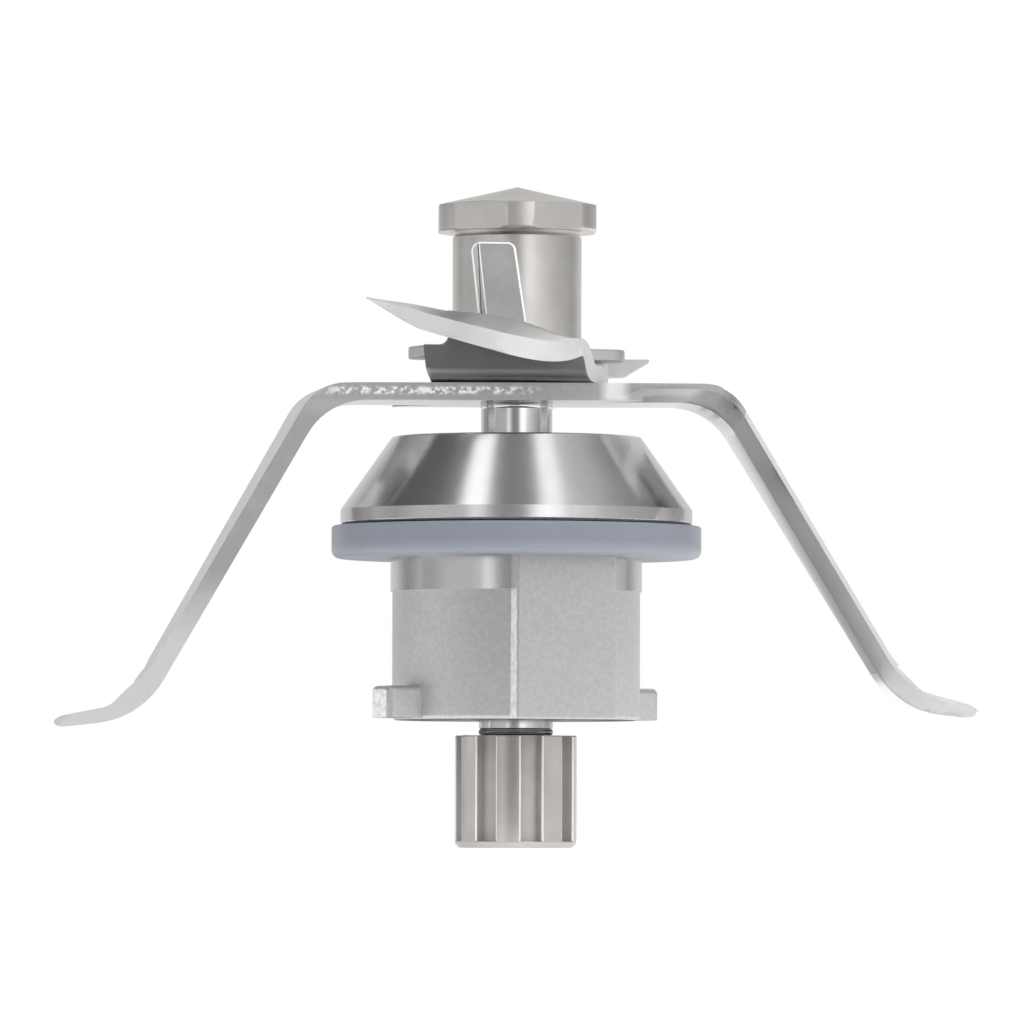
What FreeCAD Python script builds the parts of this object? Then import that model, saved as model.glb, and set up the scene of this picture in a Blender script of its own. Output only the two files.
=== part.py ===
import FreeCAD, Part
import math
import os
from collections import namedtuple

# Mixing knife of a heated blender bowl, in millimetres.
# +Z is up along the shaft axis and Z = 0 is the lower face of the drive coupling.
# X runs along the long blade, and -Y is the front.

V = FreeCAD.Vector
UP = V(0, 0, 1)
AXIS = V(0, 0, 0)

# Clearances
seat_clearance = 0.02        # radial, pieces of one body that sit on each other
running_clearance = 0.08     # radial, pieces that turn past each other
slip_clearance = 0.05        # radial, pieces slipped over the shaft

# Drive coupling
coupling_height = 15.15
coupling_radius = 8.225
coupling_root_radius = 6.8
coupling_groove_count = 8
coupling_groove_deg = 20.2
coupling_tooth_turn_deg = -7.2
coupling_bottom_chamfer = 0.6
coupling_top_chamfer = 0.15
coupling_mouth_radius = 5.2
coupling_mouth_depth = 1.2
coupling_pin_radius = 1.25
coupling_pin_height = 7.5
coupling_pin_setback = 0.15

# Shaft
shaft_end_radius = 4.0
shaft_end_chamfer = 0.6
shaft_radius = 5.0
shaft_collar_radius = 6.4
shaft_neck_radius = 4.82
shaft_flange_radius = 4.95
shaft_flange_height = 0.75
shaft_stub_radius = 4.0
shaft_flat_distance = 3.25
shaft_thread_radius = 3.85
shaft_thread_length = 12.5
shaft_step_chamfer = 0.3
shaft_thread_chamfer = 0.8

# Wire snap ring on top of the coupling
snap_wire_radius = 0.5
snap_groove_radius = 4.0
snap_gap_deg = 34.0
snap_gap_turn_deg = 198.0

# Cast housing
housing_bottom = 17.2
housing_radius = 16.75
housing_bottom_round = 0.6
ledge_height = 34.6
neck_radius = 17.0
seal_seat_radius = 16.4
seal_bottom = 39.05
lip_bottom = 43.6
lip_height = 2.0
lip_radius = 23.8
lip_edge_round = 0.35
cone_top = 55.5
cone_top_radius = 16.8
cone_edge_round = 0.6

# Key block on the front right of the casting
key_turn_deg = 23.2
key_distance = 17.35
key_width = 14.6
key_edge_round = 0.4
key_foot_round = 0.3

# Bayonet lugs
lug_bottom = 17.4
lug_height = 4.3
lug_reach = 21.6
lug_width = 5.2
lug_turn_deg = 32.0
lug_root_depth = 2.5
lug_corner_round = 1.2
lug_top_round = 0.8

# Bowl seal
bowl_seal_height = 4.4
bowl_seal_radius = 25.0
bowl_seal_inner_gap = 0.15
bowl_seal_edge_round = 0.5

# Ball bearings
bearing_width = 8.0
bearing_outer_radius = 13.0
bearing_ball_share = 0.2976     # ball radius for each millimetre from bore to outside
bearing_ball_count = 7
bearing_land_share = 0.66       # race land to pitch circle, in ball radii
bearing_shield_recess = 0.4
bearing_shield_thickness = 0.35
bearing_shield_inset = 0.2
bearing_shield_gap = 0.3
cage_half_wall = 0.65
cage_height = 6.2
cage_pocket_gap = 0.12
lower_bearing_bottom = 19.5
bearing_distance = 8.0
bearing_shoulder_depth = 3.2
distance_tube_wall = 1.6

# Retaining ring under the lower bearing
circlip_thickness = 1.2
circlip_groove_depth = 0.7
circlip_band = 2.3
circlip_gap_deg = 38.0
circlip_ear_radius = 1.7
circlip_ear_hole_radius = 0.7
circlip_ear_inset = 2.4
circlip_ear_turn_deg = 5.0

# Shaft seal in the top of the housing
shaft_seal_radius = 11.0
shaft_seal_height = 7.0
shaft_seal_wall = 2.0
shaft_seal_floor = 1.6
shaft_seal_lip_wall = 1.3
shaft_seal_lip_height = 4.2
shaft_seal_inset = 0.4
shaft_seal_mouth_gap = 0.6
shaft_seal_lip_rise = 0.6
spring_wire_radius = 0.45
spring_height = 3.4

# Blade sheets
sheet = 2.35
blade_seat = 60.05
blade_hole_clearance = 0.06

# Long lower blade
long_half_span = 62.4
long_half_width = 11.0
long_foot_deg = 6.2
long_shoulder_radius = 4.2
long_knee_radius = 14.0
long_left_shoulder = 28.1
long_left_foot = 9.75          # knee to the tip, along X
long_left_knee_height = 19.5
long_left_skew_deg = 7.6       # turn of the bend lines from square across the blade
long_right_shoulder = 28.05
long_right_foot = 9.3
long_right_knee_height = 20.95
long_right_skew_deg = 5.0
long_lead_start = 12.0
long_trail_start = 20.0
long_tip_lead = 5.0
long_tip_trail = 4.0
long_tip_round = 3.8
long_waist_round = 14.0
grind_width = 5.5
grind_depth = 1.6
grind_runout = 5.0
back_grind_width = 1.3
back_grind_depth = 0.75
tip_grind_length = 7.7
tip_grind_wall = 3.5            # height and run of the slope where the tip grind ends
tip_grind_wall_round = 3.0
left_tip_grind_height = 18.95
left_tip_height = 17.45
right_tip_grind_height = 21.15
right_tip_height = 19.15

# Upper blade: a pad with a joggled sickle wing on each side
pad_half_length = 11.5
pad_half_width = 9.0
riser_foot = 12.0
crest_reach = 13.7
rim_reach = 19.2
wing_root_reach = 8.0
wing_outer_reach = 21.0
wing_bend_radius = 0.6
wing_block_reach = 14.3
wing_block_top = 67.4
wing_block_inner = 10.3
wing_slit_end = 9.2
wing_slit_rise = 1.3
wing_slit_bulge = 9.5
wing_slit_bulge_rise = 0.45
wing_rear_reach = 15.1
wing_tip_reach = 15.6
sickle_grind_deg = 31.0
sickle_grind_run = 8.0
near_tip = 20.2
near_tip_grind_height = 73.45
far_tip = 18.1
far_tip_grind_height = 66.45

# Height of the rim's underside and pitch of the wing at each station along X
near_wing_stations = (
    (13.0, 62.7, 28.0),
    (7.4, 63.15, 29.0),
    (4.0, 63.85, 32.0),
    (0.5, 65.1, 32.0),
    (-4.0, 66.65, 26.0),
    (-9.0, 67.95, 18.0),
    (-14.5, 69.25, 15.5),
    (-21.5, 70.6, 15.0),
)
far_wing_stations = (
    (13.0, 64.05, 4.0),
    (4.0, 64.15, 4.0),
    (-5.0, 64.2, 4.0),
    (-13.0, 64.25, 4.0),
    (-21.5, 64.3, 4.0),
)

# Leading edge between a wing's right end and its tip, in plan: X and reach
near_wing_lead = ((4.3, 17.3), (-2.0, 19.2), (-9.0, 19.2), (-15.0, 17.8))
far_wing_lead = ((4.4, 17.0), (-2.7, 18.3), (-11.2, 17.8))

# Right end of a wing from the pad to the crest: how far inside the pad's end, and reach
wing_right_side = ((0.0, 9.3), (0.8, 10.4), (1.6, 11.5), (2.2, 12.8), (2.8, 14.1))

# Left end of a riser from its top to the pad: how far outside the pad's end, and reach
wing_left_side = ((1.0, 13.0), (0.6, 12.2), (0.2, 11.4), (0.0, 10.5))

# Washer between the upper blade and the paddle plate
paddle_seat = 65.85
washer_radius = 8.0

# Paddle plate: a blunt bar with two upright tabs
paddle_sheet = 1.7
paddle_hub_radius = 8.6
paddle_bar_half_length = 15.2
paddle_bar_half_width = 3.9
paddle_bar_round = 2.6
paddle_bar_turn_deg = 24.0
tab_inner_reach = 9.1
tab_bend_radius = 0.6
tab_top = 81.35
tab_top_left = -6.3
tab_top_right = -0.3
tab_foot_left = -4.6
tab_foot_right = 2.0
tab_corner_round = 1.2
tab_grind_width = 1.2
tab_grind_depth = 0.7

# Cap nut
nut_barrel_radius = 8.72
nut_head_bottom = 83.2
nut_head_corner_radius = 11.25
nut_across_flats = 21.2
nut_turn_deg = 1.5
nut_apex = 89.4
nut_cone_deg = 13.0
nut_head_chamfer = 0.3
nut_neck_groove = 0.35
nut_bore_clearance = 0.1
nut_bore_spare = 1.5
nut_bore_step = 0.5
nut_bore_chamfer = 0.5
nut_foot_chamfer = 0.4

# Overrun of cutters past the faces they cut
overrun = 1.0

# How near an edge must lie to a stated place to be picked for rounding
near = 0.1

# Worked-out radii
bearing_pitch_radius = 0.5 * (shaft_radius + bearing_outer_radius)
bearing_ball_radius = bearing_ball_share * (bearing_outer_radius - shaft_radius)
bearing_inner_land = bearing_pitch_radius - bearing_land_share * bearing_ball_radius
bearing_outer_land = bearing_pitch_radius + bearing_land_share * bearing_ball_radius
cage_inner_radius = bearing_pitch_radius - cage_half_wall
cage_outer_radius = bearing_pitch_radius + cage_half_wall
bearing_shoulder_radius = bearing_outer_radius - bearing_shoulder_depth
circlip_ear_circle = bearing_outer_radius - circlip_ear_inset

# Worked-out shape of the long blade's two wings; skew is the sideways run of the bend
# lines for each millimetre along +Y
LongWing = namedtuple("LongWing", "shoulder knee knee_height skew grind_height tip_height")
long_left_wing = LongWing(
    long_left_shoulder, long_half_span - long_left_foot, long_left_knee_height,
    -math.tan(math.radians(long_left_skew_deg)), left_tip_grind_height, left_tip_height)
long_right_wing = LongWing(
    long_right_shoulder, long_half_span - long_right_foot, long_right_knee_height,
    -math.tan(math.radians(long_right_skew_deg)), right_tip_grind_height, right_tip_height)

# Worked-out heights
snap_ring_height = coupling_height + snap_wire_radius
neck_top_shaft = blade_seat - shaft_flange_height
lower_bearing_top = lower_bearing_bottom + bearing_width
upper_bearing_bottom = lower_bearing_top + bearing_distance
upper_bearing_top = upper_bearing_bottom + bearing_width
circlip_bottom = lower_bearing_bottom - circlip_thickness - seat_clearance
shaft_seal_bottom = cone_top - shaft_seal_inset - shaft_seal_height
long_blade_top = blade_seat + sheet
upper_blade_top = long_blade_top + sheet
nut_seat = paddle_seat + paddle_sheet
stub_top = nut_seat - shaft_step_chamfer
thread_top = nut_seat + shaft_thread_length


def revolved(points):
    """Solid of revolution about the shaft axis from (radius, height) points."""
    wire = Part.makePolygon([V(r, 0, z) for r, z in points + points[:1]])
    return Part.Face(wire).revolve(AXIS, UP, 360)


def ring(inner, outer, bottom, top):
    """Plain ring between two radii."""
    return revolved([(inner, bottom), (outer, bottom), (outer, top), (inner, top)])


def cylinder(radius, bottom, top):
    """Upright cylinder on the shaft axis."""
    return Part.makeCylinder(radius, top - bottom, V(0, 0, bottom))


def turned(shape, degrees):
    """Copy of a shape turned about the shaft axis."""
    copy = shape.copy()
    copy.rotate(AXIS, UP, degrees)
    return copy


def prism(points, bottom, top):
    """Upright prism on a closed plan polygon."""
    wire = Part.makePolygon([V(x, y, bottom) for x, y in points + points[:1]])
    return Part.Face(wire).extrude(V(0, 0, top - bottom))


def polar(radius, degrees):
    """Plan point at an angle from the front (-Y), positive towards +X."""
    angle = math.radians(degrees)
    return (radius * math.sin(angle), -radius * math.cos(angle))


def upright_edges(shape, test):
    """Edges that run along Z and whose plan position passes a test."""
    found = []
    for edge in shape.Edges:
        box = edge.BoundBox
        if box.XLength + box.YLength < 1e-6 and test(box.Center):
            found.append(edge)
    return found


def circle_edges(shape, radius, height):
    """Full circles about the shaft axis with a given radius and height."""
    found = []
    for edge in shape.Edges:
        box = edge.BoundBox
        flat = box.ZLength < 1e-6 and abs(box.ZMin - height) < 1e-4
        if flat and abs(box.XMax - radius) < 1e-4 and abs(box.XMin + radius) < 1e-4:
            found.append(edge)
    return found


def rounded_path(points, radii):
    """Lines and arcs along an open path, as tuples of plan points.

    Each inner point is rounded with its own radius.
    """
    pieces = []
    start = points[0]
    for before, corner, after, radius in zip(points, points[1:], points[2:], radii):
        first = (corner - before).normalize()
        second = (after - corner).normalize()
        half_turn = 0.5 * first.getAngle(second)
        reach = radius * math.tan(half_turn)
        arc_start = corner - first * reach
        arc_end = corner + second * reach
        inward = (second - first).normalize()
        centre = corner + inward * (radius / math.cos(half_turn))
        pieces.append((start, arc_start))
        pieces.append((arc_start, centre - inward * radius, arc_end))
        start = arc_end
    pieces.append((start, points[-1]))
    return pieces


def path_edges(pieces, place):
    """Edges of a rounded path after placing its points in space."""
    edges = []
    for piece in pieces:
        spots = [place(point) for point in piece]
        if len(spots) == 2:
            edges.append(Part.LineSegment(*spots).toShape())
        else:
            edges.append(Part.Arc(*spots).toShape())
    return edges


def offset_path(points, radii, distance):
    """Path and bend radii at a distance to the left of a path."""
    directions = [(b - a).normalize() for a, b in zip(points, points[1:])]
    normals = [V(-d.y, d.x, 0) for d in directions]
    moved = [points[0] + normals[0] * distance]
    new_radii = []
    for index, radius in enumerate(radii):
        first = normals[index]
        second = normals[index + 1]
        shift = (first + second) * (distance / (1 + first.dot(second)))
        moved.append(points[index + 1] + shift)
        turn = directions[index].cross(directions[index + 1]).z
        new_radii.append(radius - math.copysign(distance, turn))
    moved.append(points[-1] + normals[-1] * distance)
    return moved, new_radii


def strip_wire(points, radii, near_side, far_side, place):
    """Closed outline of a bent strip between two offsets of one path."""
    near = rounded_path(*offset_path(points, radii, near_side))
    far = rounded_path(*offset_path(points, radii, far_side))
    far_back = [piece[::-1] for piece in far[::-1]]
    ends = [(near[-1][-1], far[-1][-1]), (far[0][0], near[0][0])]
    pieces = near + ends[:1] + far_back + ends[1:]
    return Part.Wire(path_edges(pieces, place))


def keyed_hole(bottom, top):
    """Cutter for a blade's hole with two flats, which the shaft stub fits."""
    radius = shaft_stub_radius + blade_hole_clearance
    half_flat = shaft_flat_distance + blade_hole_clearance
    slab = Part.makeBox(2 * radius, 2 * half_flat, top - bottom, V(-radius, -half_flat, bottom))
    return cylinder(radius, bottom, top).common(slab)


def cut_keyed_hole(shape):
    """Blade with its hole on the shaft cut out."""
    box = shape.BoundBox
    return shape.cut(keyed_hole(box.ZMin - overrun, box.ZMax + overrun))


def bearing_housing():
    """One casting: body, machined neck, seal groove, lip, cone, key and lugs."""
    body = revolved([
        (0, housing_bottom),
        (housing_radius, housing_bottom),
        (housing_radius, ledge_height),
        (neck_radius, ledge_height),
        (neck_radius, seal_bottom),
        (seal_seat_radius, seal_bottom),
        (seal_seat_radius, lip_bottom),
        (lip_radius, lip_bottom),
        (lip_radius, lip_bottom + lip_height),
        (cone_top_radius, cone_top),
        (0, cone_top),
    ])
    body = body.makeFillet(housing_bottom_round, circle_edges(body, housing_radius, housing_bottom))
    body = body.makeFillet(lip_edge_round, circle_edges(body, lip_radius, lip_bottom))
    body = body.makeFillet(cone_edge_round, circle_edges(body, cone_top_radius, cone_top))
    body = body.fuse([key_block()] + [lug(turn) for turn in (0, 180)])
    return body.cut(housing_bores()).removeSplitter()


def key_block():
    """Flat-faced block that locates the housing in its seat."""
    depth = key_distance - 0.5 * housing_radius
    block = Part.makeBox(
        key_width, depth, seal_bottom - housing_bottom,
        V(-0.5 * key_width, -key_distance, housing_bottom),
    )
    front = upright_edges(block, lambda spot: spot.y < -key_distance + near)
    block = block.makeFillet(key_edge_round, front)
    foot = [
        edge for edge in block.Edges
        if edge.BoundBox.ZLength < 1e-6
        and edge.BoundBox.ZMin < housing_bottom + near
        and edge.BoundBox.YMax < -key_distance + key_edge_round + near
    ]
    block = block.makeFillet(key_foot_round, foot)
    return turned(block, key_turn_deg)


def lug(turn):
    """Bayonet lug, before its turn modelled pointing along -X."""
    inner = housing_radius - lug_root_depth
    block = Part.makeBox(
        lug_reach - inner, lug_width, lug_height,
        V(-lug_reach, -0.5 * lug_width, lug_bottom),
    )
    corners = upright_edges(block, lambda spot: spot.x < -inner - near)
    block = block.makeFillet(lug_corner_round, corners)
    top = lug_bottom + lug_height
    rim = [
        edge for edge in block.Edges
        if edge.BoundBox.ZLength < 1e-6
        and edge.BoundBox.ZMin > top - near
        and edge.BoundBox.XMax < -lug_reach + lug_corner_round + near
    ]
    block = block.makeFillet(lug_top_round, rim)
    return turned(block, turn + lug_turn_deg)


def housing_bores():
    """Everything bored into the casting, as one cutter."""
    below = housing_bottom - overrun
    above = cone_top + overrun
    groove_radius = bearing_outer_radius + circlip_groove_depth
    return revolved([
        (0, below),
        (bearing_outer_radius, below),
        (bearing_outer_radius, circlip_bottom - seat_clearance),
        (groove_radius, circlip_bottom - seat_clearance),
        (groove_radius, lower_bearing_bottom),
        (bearing_outer_radius, lower_bearing_bottom),
        (bearing_outer_radius, upper_bearing_top),
        (bearing_shoulder_radius, upper_bearing_top),
        (bearing_shoulder_radius, shaft_seal_bottom),
        (shaft_seal_radius, shaft_seal_bottom),
        (shaft_seal_radius, above),
        (0, above),
    ])


def bowl_seal():
    """Flat ring of silicone in the groove under the lip."""
    inner = seal_seat_radius + bowl_seal_inner_gap
    top = seal_bottom + bowl_seal_height
    body = ring(inner, bowl_seal_radius, seal_bottom, top)
    edges = circle_edges(body, bowl_seal_radius, seal_bottom)
    edges += circle_edges(body, bowl_seal_radius, top)
    return body.makeFillet(bowl_seal_edge_round, edges)


def shaft_seal():
    """Radial lip seal round the shaft's neck."""
    outer = shaft_seal_radius - seat_clearance
    lip = shaft_neck_radius + running_clearance
    base = shaft_seal_bottom
    top = base + shaft_seal_height
    lip_outer = lip + shaft_seal_lip_wall
    lip_end = top - shaft_seal_floor - shaft_seal_lip_height
    mouth = lip + shaft_seal_mouth_gap
    body = revolved([
        (outer, base),
        (outer, top),
        (mouth, top),
        (mouth, lip_end + 2 * shaft_seal_lip_rise),
        (lip, lip_end + shaft_seal_lip_rise),
        (mouth, lip_end),
        (lip_outer, lip_end),
        (lip_outer, top - shaft_seal_floor),
        (outer - shaft_seal_wall, top - shaft_seal_floor),
        (outer - shaft_seal_wall, base),
    ])
    groove = Part.makeTorus(
        lip_outer, spring_wire_radius + seat_clearance, V(0, 0, base + spring_height))
    return body.cut(groove)


def seal_spring():
    """Garter spring that closes the seal's lip, as its outer envelope."""
    lip_outer = shaft_neck_radius + running_clearance + shaft_seal_lip_wall
    return Part.makeTorus(lip_outer, spring_wire_radius, V(0, 0, shaft_seal_bottom + spring_height))


def race_groove():
    """Torus that cuts both races of a bearing centred on Z = 0."""
    return Part.makeTorus(bearing_pitch_radius, bearing_ball_radius + running_clearance)


def bearing_outer_ring(bottom):
    """Outer ring with its race and a recess for each shield."""
    half = 0.5 * bearing_width
    recess = bearing_outer_land + bearing_shield_recess
    depth = bearing_shield_inset + bearing_shield_thickness + seat_clearance
    body = revolved([
        (recess, -half),
        (bearing_outer_radius - seat_clearance, -half),
        (bearing_outer_radius - seat_clearance, half),
        (recess, half),
        (recess, half - depth),
        (bearing_outer_land, half - depth),
        (bearing_outer_land, depth - half),
        (recess, depth - half),
    ])
    body = body.cut(race_groove())
    body.translate(V(0, 0, bottom + half))
    return body


def bearing_inner_ring(bottom):
    """Inner ring with its race."""
    half = 0.5 * bearing_width
    body = ring(shaft_radius + seat_clearance, bearing_inner_land, -half, half)
    body = body.cut(race_groove())
    body.translate(V(0, 0, bottom + half))
    return body


def ball_places():
    """Turns of the balls about the shaft axis, in degrees."""
    return [360.0 * index / bearing_ball_count for index in range(bearing_ball_count)]


def bearing_ball(degrees):
    """One ball at its place in a bearing centred on Z = 0."""
    x, y = polar(bearing_pitch_radius, degrees)
    return Part.makeSphere(bearing_ball_radius, V(x, y, 0))


def bearing_balls(bottom):
    """The loose balls of one bearing."""
    balls = Part.makeCompound([bearing_ball(turn) for turn in ball_places()])
    balls.translate(V(0, 0, bottom + 0.5 * bearing_width))
    return balls


def bearing_cage(bottom):
    """Cage ring with a pocket for each ball."""
    half = 0.5 * cage_height
    pocket = bearing_ball_radius + cage_pocket_gap
    body = ring(cage_inner_radius, cage_outer_radius, -half, half)
    for turn in ball_places():
        x, y = polar(1, turn)
        body = body.cut(Part.makeCylinder(pocket, 2 * cage_outer_radius, AXIS, V(x, y, 0)))
    body.translate(V(0, 0, bottom + 0.5 * bearing_width))
    return body


def bearing_shields(bottom):
    """Two thin steel shields in the outer ring."""
    inner = bearing_inner_land + bearing_shield_gap
    outer = bearing_outer_land + bearing_shield_recess - seat_clearance
    low = bottom + bearing_shield_inset
    high = bottom + bearing_width - bearing_shield_inset - bearing_shield_thickness
    return Part.makeCompound([
        ring(inner, outer, low, low + bearing_shield_thickness),
        ring(inner, outer, high, high + bearing_shield_thickness),
    ])


def distance_tube():
    """Tube that keeps the two outer rings apart."""
    outer = bearing_outer_radius - seat_clearance
    return ring(outer - distance_tube_wall, outer, lower_bearing_top, upper_bearing_bottom)


def housing_circlip():
    """Internal retaining ring with two eared ends."""
    outer = bearing_outer_radius + circlip_groove_depth - seat_clearance
    bottom = circlip_bottom
    top = bottom + circlip_thickness
    body = ring(outer - circlip_band, outer, bottom, top)
    half_gap = 0.5 * circlip_gap_deg
    reach = 2 * outer
    wedge = prism([(0, 0), polar(reach, 180 - half_gap), polar(reach, 180 + half_gap)], bottom, top)
    body = body.cut(wedge)
    ear_turn = half_gap + circlip_ear_turn_deg
    for turn in (180 - ear_turn, 180 + ear_turn):
        x, y = polar(circlip_ear_circle, turn)
        ear = Part.makeCylinder(circlip_ear_radius, circlip_thickness, V(x, y, bottom))
        hole = Part.makeCylinder(circlip_ear_hole_radius, circlip_thickness, V(x, y, bottom))
        body = body.fuse(ear).cut(hole)
    return body.removeSplitter()


def shaft():
    """Shaft with bearing seats, collar, neck, flange, keyed stub and thread."""
    bottom = coupling_mouth_depth
    step = coupling_height + 2 * snap_wire_radius
    body = revolved([
        (0, bottom),
        (shaft_end_radius - shaft_end_chamfer, bottom),
        (shaft_end_radius, bottom + shaft_end_chamfer),
        (shaft_end_radius, step),
        (shaft_radius, step + shaft_step_chamfer),
        (shaft_radius, lower_bearing_top),
        (shaft_collar_radius, lower_bearing_top),
        (shaft_collar_radius, upper_bearing_bottom),
        (shaft_radius, upper_bearing_bottom),
        (shaft_radius, upper_bearing_top),
        (shaft_neck_radius, upper_bearing_top + shaft_step_chamfer),
        (shaft_neck_radius, neck_top_shaft),
        (shaft_flange_radius, neck_top_shaft),
        (shaft_flange_radius, blade_seat),
        (shaft_stub_radius, blade_seat),
        (shaft_stub_radius, stub_top),
        (shaft_thread_radius, nut_seat + shaft_step_chamfer),
        (shaft_thread_radius, thread_top - shaft_thread_chamfer),
        (shaft_thread_radius - shaft_thread_chamfer, thread_top),
        (0, thread_top),
    ])
    side = 2 * shaft_stub_radius
    height = nut_seat + shaft_step_chamfer - blade_seat
    for corner in (shaft_flat_distance, -shaft_flat_distance - side):
        flat = Part.makeBox(2 * side, side, height, V(-side, corner, blade_seat))
        body = body.cut(flat)
    return body.cut(pin_hole()).removeSplitter()


def pin_direction():
    """Angle from the front of the coupling grooves that the pin ends in."""
    step = 360.0 / coupling_groove_count
    return coupling_tooth_turn_deg + 0.5 * step + 2 * step


def pin_body(radius, half_length):
    """Cross pin through the coupling and the shaft."""
    body = Part.makeCylinder(
        radius, 2 * half_length, V(0, half_length, coupling_pin_height), V(0, -1, 0))
    return turned(body, pin_direction())


def pin_hole():
    """Cutter for the pin's hole."""
    return pin_body(coupling_pin_radius + seat_clearance, coupling_radius + overrun)


def coupling_pin():
    """Pin that locks the coupling to the shaft."""
    half_length = coupling_root_radius - coupling_pin_setback
    return pin_body(coupling_pin_radius, half_length)


def snap_ring():
    """Open ring of round wire in the groove above the coupling."""
    centre_radius = snap_groove_radius + snap_wire_radius + slip_clearance
    ring_body = Part.makeTorus(
        centre_radius, snap_wire_radius - seat_clearance,
        V(0, 0, snap_ring_height), UP, -180, 180, 360 - snap_gap_deg)
    return turned(ring_body, snap_gap_turn_deg + 0.5 * snap_gap_deg)


def drive_coupling():
    """Splined drive coupling with eight teeth."""
    chamfer = coupling_bottom_chamfer
    edge = coupling_top_chamfer
    bore = shaft_end_radius + slip_clearance
    body = revolved([
        (coupling_mouth_radius, 0),
        (coupling_radius - chamfer, 0),
        (coupling_radius, chamfer),
        (coupling_radius, coupling_height - edge),
        (coupling_radius - edge, coupling_height),
        (bore, coupling_height),
        (bore, coupling_mouth_depth),
        (coupling_mouth_radius, coupling_mouth_depth),
    ])
    step = 360.0 / coupling_groove_count
    grooves = []
    for index in range(coupling_groove_count):
        grooves.append(coupling_groove(coupling_tooth_turn_deg + (index + 0.5) * step))
    return body.cut(grooves).cut(pin_hole())


def coupling_groove(turn):
    """Cutter for one groove, with a round root and radial sides."""
    half = 0.5 * coupling_groove_deg
    outer = coupling_radius + overrun
    spots = [
        polar(coupling_root_radius, turn - half),
        polar(coupling_root_radius, turn),
        polar(coupling_root_radius, turn + half),
        polar(outer, turn + half),
        polar(outer, turn),
        polar(outer, turn - half),
    ]
    corners = [V(x, y, -overrun) for x, y in spots]
    edges = [
        Part.Arc(*corners[:3]).toShape(),
        Part.LineSegment(corners[2], corners[3]).toShape(),
        Part.Arc(*corners[3:]).toShape(),
        Part.LineSegment(corners[5], corners[0]).toShape(),
    ]
    return Part.Face(Part.Wire(edges)).extrude(V(0, 0, coupling_height + 2 * overrun))


def long_wing_path(wing):
    """Top side of one wing's section from behind the axis to the tip, with its bend radii."""
    end = long_half_span + overrun
    drop = (end - wing.knee) * math.tan(math.radians(long_foot_deg))
    points = [
        V(-long_half_width, long_blade_top, 0),
        V(wing.shoulder, long_blade_top, 0),
        V(wing.knee, wing.knee_height, 0),
        V(end, wing.knee_height - drop, 0),
    ]
    return points, [long_shoulder_radius + sheet, long_knee_radius]


def long_wing_strip(wing):
    """Bent strip from the shaft axis to beyond a wing's tip on +X, wider than the blade."""
    points, radii = long_wing_path(wing)
    profile = Part.Face(strip_wire(points, radii, -sheet, 0, lambda p: V(p.x, 0, p.y)))
    reach = 2 * long_half_width
    profile.translate(V(-wing.skew * reach, -reach, 0))
    strip = profile.extrude(V(2 * wing.skew * reach, 2 * reach, 0))
    behind = Part.makeBox(reach, 2 * reach, 2 * long_blade_top, V(-reach, -reach, 0))
    return strip.cut(behind)


def long_blade_outline():
    """Plan outline of the long blade, the same after half a turn."""
    half = [
        (long_lead_start, -long_half_width),
        (long_half_span, -long_tip_lead),
        (long_half_span, long_tip_trail),
        (long_trail_start, long_half_width),
    ]
    points = half + [(-x, -y) for x, y in half]
    body = prism(points, 0, long_blade_top + overrun)
    tips = upright_edges(body, lambda spot: abs(spot.x) > long_half_span - near)
    body = body.makeFillet(long_tip_round, tips)
    waists = upright_edges(body, lambda spot: abs(spot.x) < long_lead_start + near)
    return body.makeFillet(long_waist_round, waists)


def edge_grind(side, width, depth, start, wing):
    """Cutter that grinds the leading edge of a wing that points along +X.

    side is 1 for the upper face and -1 for the underside.
    """
    points, radii = long_wing_path(wing)
    line_start = V(long_lead_start, -long_half_width, 0)
    line_end = V(long_half_span, -long_tip_lead, 0)
    along = (line_end - line_start).normalize()
    inward = V(-along.y, along.x, 0)
    slope = depth / width
    face = 0.0 if side > 0 else -sheet

    def section(distance):
        """Closed wire of the cutter at a distance in from the edge."""
        level = face - side * slope * (width - distance)
        origin = line_start + inward * distance
        start_u = origin.x - wing.skew * origin.y
        stretch = along.x - wing.skew * along.y

        def place(point):
            """Point of the section moved onto the edge's own plane."""
            spot = origin + along * ((point.x - start_u) / stretch)
            return V(spot.x, spot.y, point.y)

        return strip_wire(points, radii, level, face + sheet * side, place)

    cutter = Part.makeLoft([section(-overrun), section(width + overrun)], True, True)
    height = 2 * long_blade_top
    runout = Part.makeCylinder(grind_runout, height, V(start, -long_half_width, 0))
    reach = 2 * long_half_width
    before = Part.makeBox(start + reach, 2 * reach, height, V(-reach, -reach, 0))
    return cutter.cut([runout, before])


def tip_grind(wing):
    """Cutter that thins the tip of a foot that points along +X, from above."""
    start = long_half_span - tip_grind_length
    end = long_half_span + overrun
    slope = (wing.grind_height - wing.tip_height) / tip_grind_length
    top = wing.grind_height + tip_grind_wall
    points = [
        V(start - tip_grind_wall, top, 0),
        V(start, wing.grind_height, 0),
        V(end, wing.tip_height - overrun * slope, 0),
    ]
    pieces = rounded_path(points, [tip_grind_wall_round])
    pieces += [(points[-1], V(end, top, 0)), (V(end, top, 0), points[0])]
    edges = path_edges(pieces, lambda p: V(p.x, -long_half_width, p.y))
    return Part.Face(Part.Wire(edges)).extrude(V(0, 2 * long_half_width, 0))


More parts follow.
